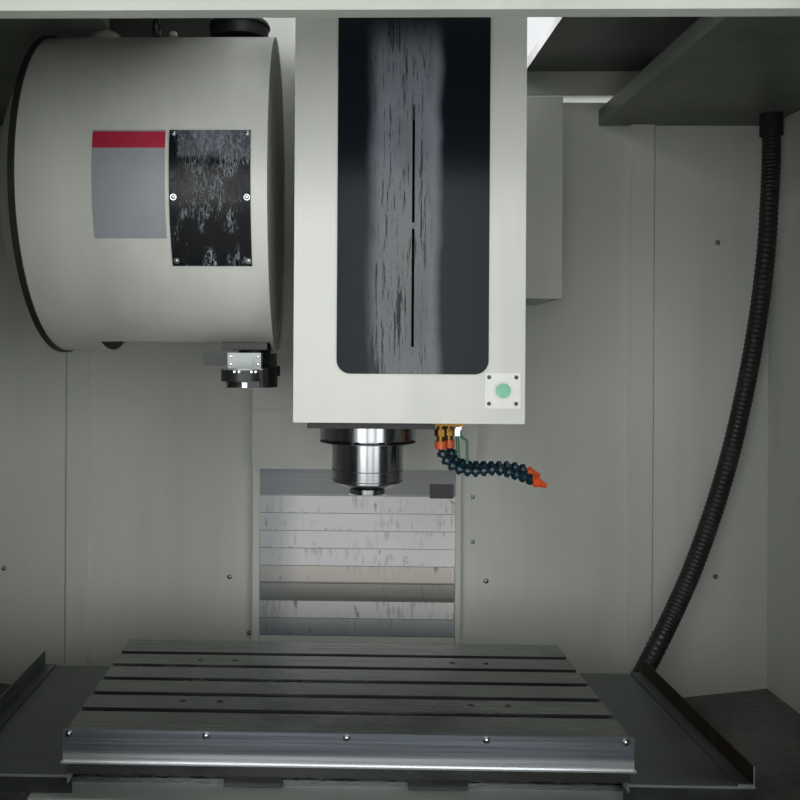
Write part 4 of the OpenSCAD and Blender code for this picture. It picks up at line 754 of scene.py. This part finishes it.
bare_plate = Finish("bare_plate")
plate_z = bare_plate.axis("Z")
band = bare_plate.step(plate_z, 1.9475, 1.9482) * bare_plate.step(plate_z, 1.9792, 1.9785)
dirt = bare_plate.noise(14.0, detail=6.0, rough=0.7)
plain = bare_plate.blend(dirt, tint("#888b91"), tint("#9c9fa5"))
red = bare_plate.blend(dirt, tint("#9c1f36"), tint("#b23148"))
bare_plate.set(base_color=bare_plate.blend(band, plain, red), roughness=0.42, specular_ior_level=0.3)
bare_plate.bump(dirt, 0.0008, 0.5)
rolled = Stock()
plate_left, plate_right, plate_low, plate_high = -0.5185, -0.3845, 1.7855, 1.982
plate_t, rows = 0.0012, 14
for i in range(rows + 1):
    z = plate_low + (plate_high - plate_low) * i / rows
    for r in (drum_r, drum_r + plate_t):
        y = drum_y - math.sqrt(r ** 2 - (z - drum_z) ** 2)
        rolled.verts += [Vector((plate_left, y, z)), Vector((plate_right, y, z))]
for i in range(rows):
    a, b = 4 * i, 4 * i + 4
    rolled.faces += [(a, a + 1, b + 1, b), (a + 2, b + 2, b + 3, a + 3), (a, b, b + 2, a + 2),
        (a + 1, a + 3, b + 3, b + 1)]
rolled.faces += [(0, 2, 3, 1), (4 * rows, 4 * rows + 1, 4 * rows + 3, 4 * rows + 2)]
rolled.piece("bare_plate", bare_plate, "frame", "sheet_white")

drum_top = drum_z + drum_r
sunk_z = drum_top - 0.001
lifting_eye = Stock()
eye_x, eye_r, eye_steps = -0.4665, 0.019, 28
lifting_eye.turned([(0.022, 0), (0.022, 0.006), (0.014, 0.010), (0.014, 0.018)],
    (eye_x, drum_y, sunk_z), (0, 0, 1), 28)
lifting_eye.bent([Vector((eye_x, drum_y + eye_r * math.sin(a), drum_top + 0.036 + eye_r * math.cos(a)))
    for a in (2 * math.pi * k / eye_steps for k in range(eye_steps + 1))], 0.0062)
lifting_eye.piece("lifting_eye", dark_steel, "frame", "foot_iron")
small_caps = Stock()
small_caps.turned([(0.013, 0), (0.013, 0.008), (0.007, 0.010), (0.007, 0.022), (0.010, 0.023),
    (0.010, 0.031), (0.006, 0.034)], (-0.431, drum_y, sunk_z), (0, 0, 1), 24)
small_caps.turned([(0.042, 0), (0.042, 0.006), (0.039, 0.018), (0.030, 0.028), (0.016, 0.034),
    (0.0, 0.036)], (-0.5795, drum_y, sunk_z), (0, 0, 1), 32)
small_caps.piece("drum_caps", hood_paint, "frame", "sheet_white")

# Tool changer: a cam gearbox and a double gripper arm of blackened steel. The gripper seen
# under the drum has a grey latch block with a plug and small bolts.
changer_steel = Finish("changer_steel")
blackened = changer_steel.blend(changer_steel.noise(45.0, detail=5.0), tint("#17191b"), tint("#303335"))
block_low, block_high, block_x, block_y = 1.5425, 1.576, -0.2825, -0.09
housing = ((changer_steel.axis("Z") > block_low) * (changer_steel.axis("Z") < block_high)
    * (changer_steel.axis("X") > block_x) * (changer_steel.axis("Y") < block_y))
changer_steel.set(base_color=changer_steel.blend(housing, blackened, tint("#8f9592")), metallic=0.45,
    roughness=0.4)
coat(changer_steel, "changer_gearbox", "changer_arm")
eased(0.0015, "changer_gearbox", "changer_arm")
arm_bolts = Stock()
grip_x, grip_y, grip_r, block_face_y = -0.244, -0.216, 0.042, -0.1438
for x in (-0.2575, -0.2487, -0.2261, -0.2186):
    reach = math.sqrt(grip_r ** 2 - (x - grip_x) ** 2)
    arm_bolts.turned([(0.0028, 0), (0.0028, 0.0022), (0.0018, 0.0026)], (x, grip_y - reach, 1.5395),
        (0, -1, 0), 16)
for z in (1.552, 1.5675):
    for x in (-0.2765, -0.2225):
        arm_bolts.turned([(0.003, 0), (0.003, 0.0022), (0.002, 0.0026)], (x, block_face_y, z),
            (0, -1, 0), 16)
arm_bolts.block((-0.2425, -0.2582, 1.5105), (-0.2335, -0.2570, 1.5195))
arm_bolts.piece("arm_bolts", bright_steel, "changer_arm", "rail_steel")

# Doors: two folded panels on top and bottom tracks, each with a laminated window in a rubber
# gasket and a bright bar handle.
door_paint = sheet_paint("door_paint", "#b4b9b1", "#adb2a9")
handle_y = -0.8465
grip = door_paint.axis("Y") < handle_y
painted = Wire(door_paint, door_paint.shader.inputs["Base Color"].links[0].from_socket)
door_paint.set(base_color=door_paint.blend(grip, painted, tint("#b9bcbd")), metallic=grip,
    roughness=0.36)
coat(door_paint, "door_left", "door_right")
eased(0.003, "door_left", "door_right", segments=3)
window_glass = mottled("window_glass", 3.0, "#9fb0ae", "#a9b8b5", roughness=0.06, alpha=0.38)
coat(window_glass, "window_left", "window_right")
gasket_gap, gasket_r = 0.016, 0.006
for name in ("window_left", "window_right"):
    (ax, ay, az), (bx, by, bz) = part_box(name)
    edges = (((ax, az), (bx, az)), ((ax, bz), (bx, bz)), ((ax, az), (ax, bz)), ((bx, az), (bx, bz)))
    gasket = Stock()
    for y in (ay - gasket_gap, by + gasket_gap):
        for start, end in edges:
            gasket.bent([(start[0], y, start[1]), (end[0], y, end[1])], gasket_r)
    gasket.piece(name.replace("window", "gasket"), rubber_black, name.replace("window", "door"),
        "rubber_black")

# Operator panel: a sheet housing that swivels on its post, with a dark screen, a deck of
# plain keys, an override knob and a red stop button on a yellow disc. The electrical cabinet
# and the coolant tank are folded and sprayed in the same paint.
cabinet_paint = sheet_paint("cabinet_paint", "#c3c8c1", "#b8beb6")
coat(cabinet_paint, "operator_panel", "electrical_cabinet", "cabinet_door", "coolant_tank")
eased(0.003, "operator_panel", "electrical_cabinet", "cabinet_door", segments=3)
eased(0.002, "coolant_tank")
screen_glass = mottled("screen_glass", 4.0, "#0c1014", "#141a20", roughness=0.1, coat_weight=0.5)
screen = Stock()
screen.block((0.765, -0.9835, 1.52), (1.075, -0.9815, 1.745))
screen.piece("panel_screen", screen_glass, "operator_panel", "panel_black", ease=0.0006)
key_plastic = mottled("key_plastic", 90.0, "#3d4245", "#4c5255", roughness=0.45)
keys = Stock()
keys_x, key_front, key_back = 0.752, -0.9885, -0.9858
for row in range(5):
    for column in range(11):
        x, z = keys_x + 0.027 * column, 1.335 + 0.024 * row
        keys.block((x, key_front, z), (x + 0.021, key_back, z + 0.018))
for column in range(4):
    keys.block((keys_x + 0.04 * column, key_front, 1.25), (0.782 + 0.04 * column, key_back, 1.28))
keys.piece("panel_keys", key_plastic, "operator_panel", "plastic_black", ease=0.0012)
stop_red = mottled("stop_red", 60.0, "#b01c1a", "#c42824", roughness=0.3, coat_weight=0.3)
coat(stop_red, "emergency_stop")
eased(0.003, "emergency_stop", segments=3)
disc_yellow = mottled("disc_yellow", 60.0, "#d9b21c", "#e4c033", roughness=0.4)
stop_disc = Stock()
stop_disc.turned([(0.0115, 0), (0.032, 0), (0.032, 0.0015), (0.0115, 0.0015)], (1.065, -0.986, 1.27),
    (0, -1, 0), 48)
stop_disc.piece("stop_disc", disc_yellow, "operator_panel", "plastic_grey")
coat(rubber_black, "override_knob", "conduit_gland")
eased(0.001, "override_knob", "conduit_gland")
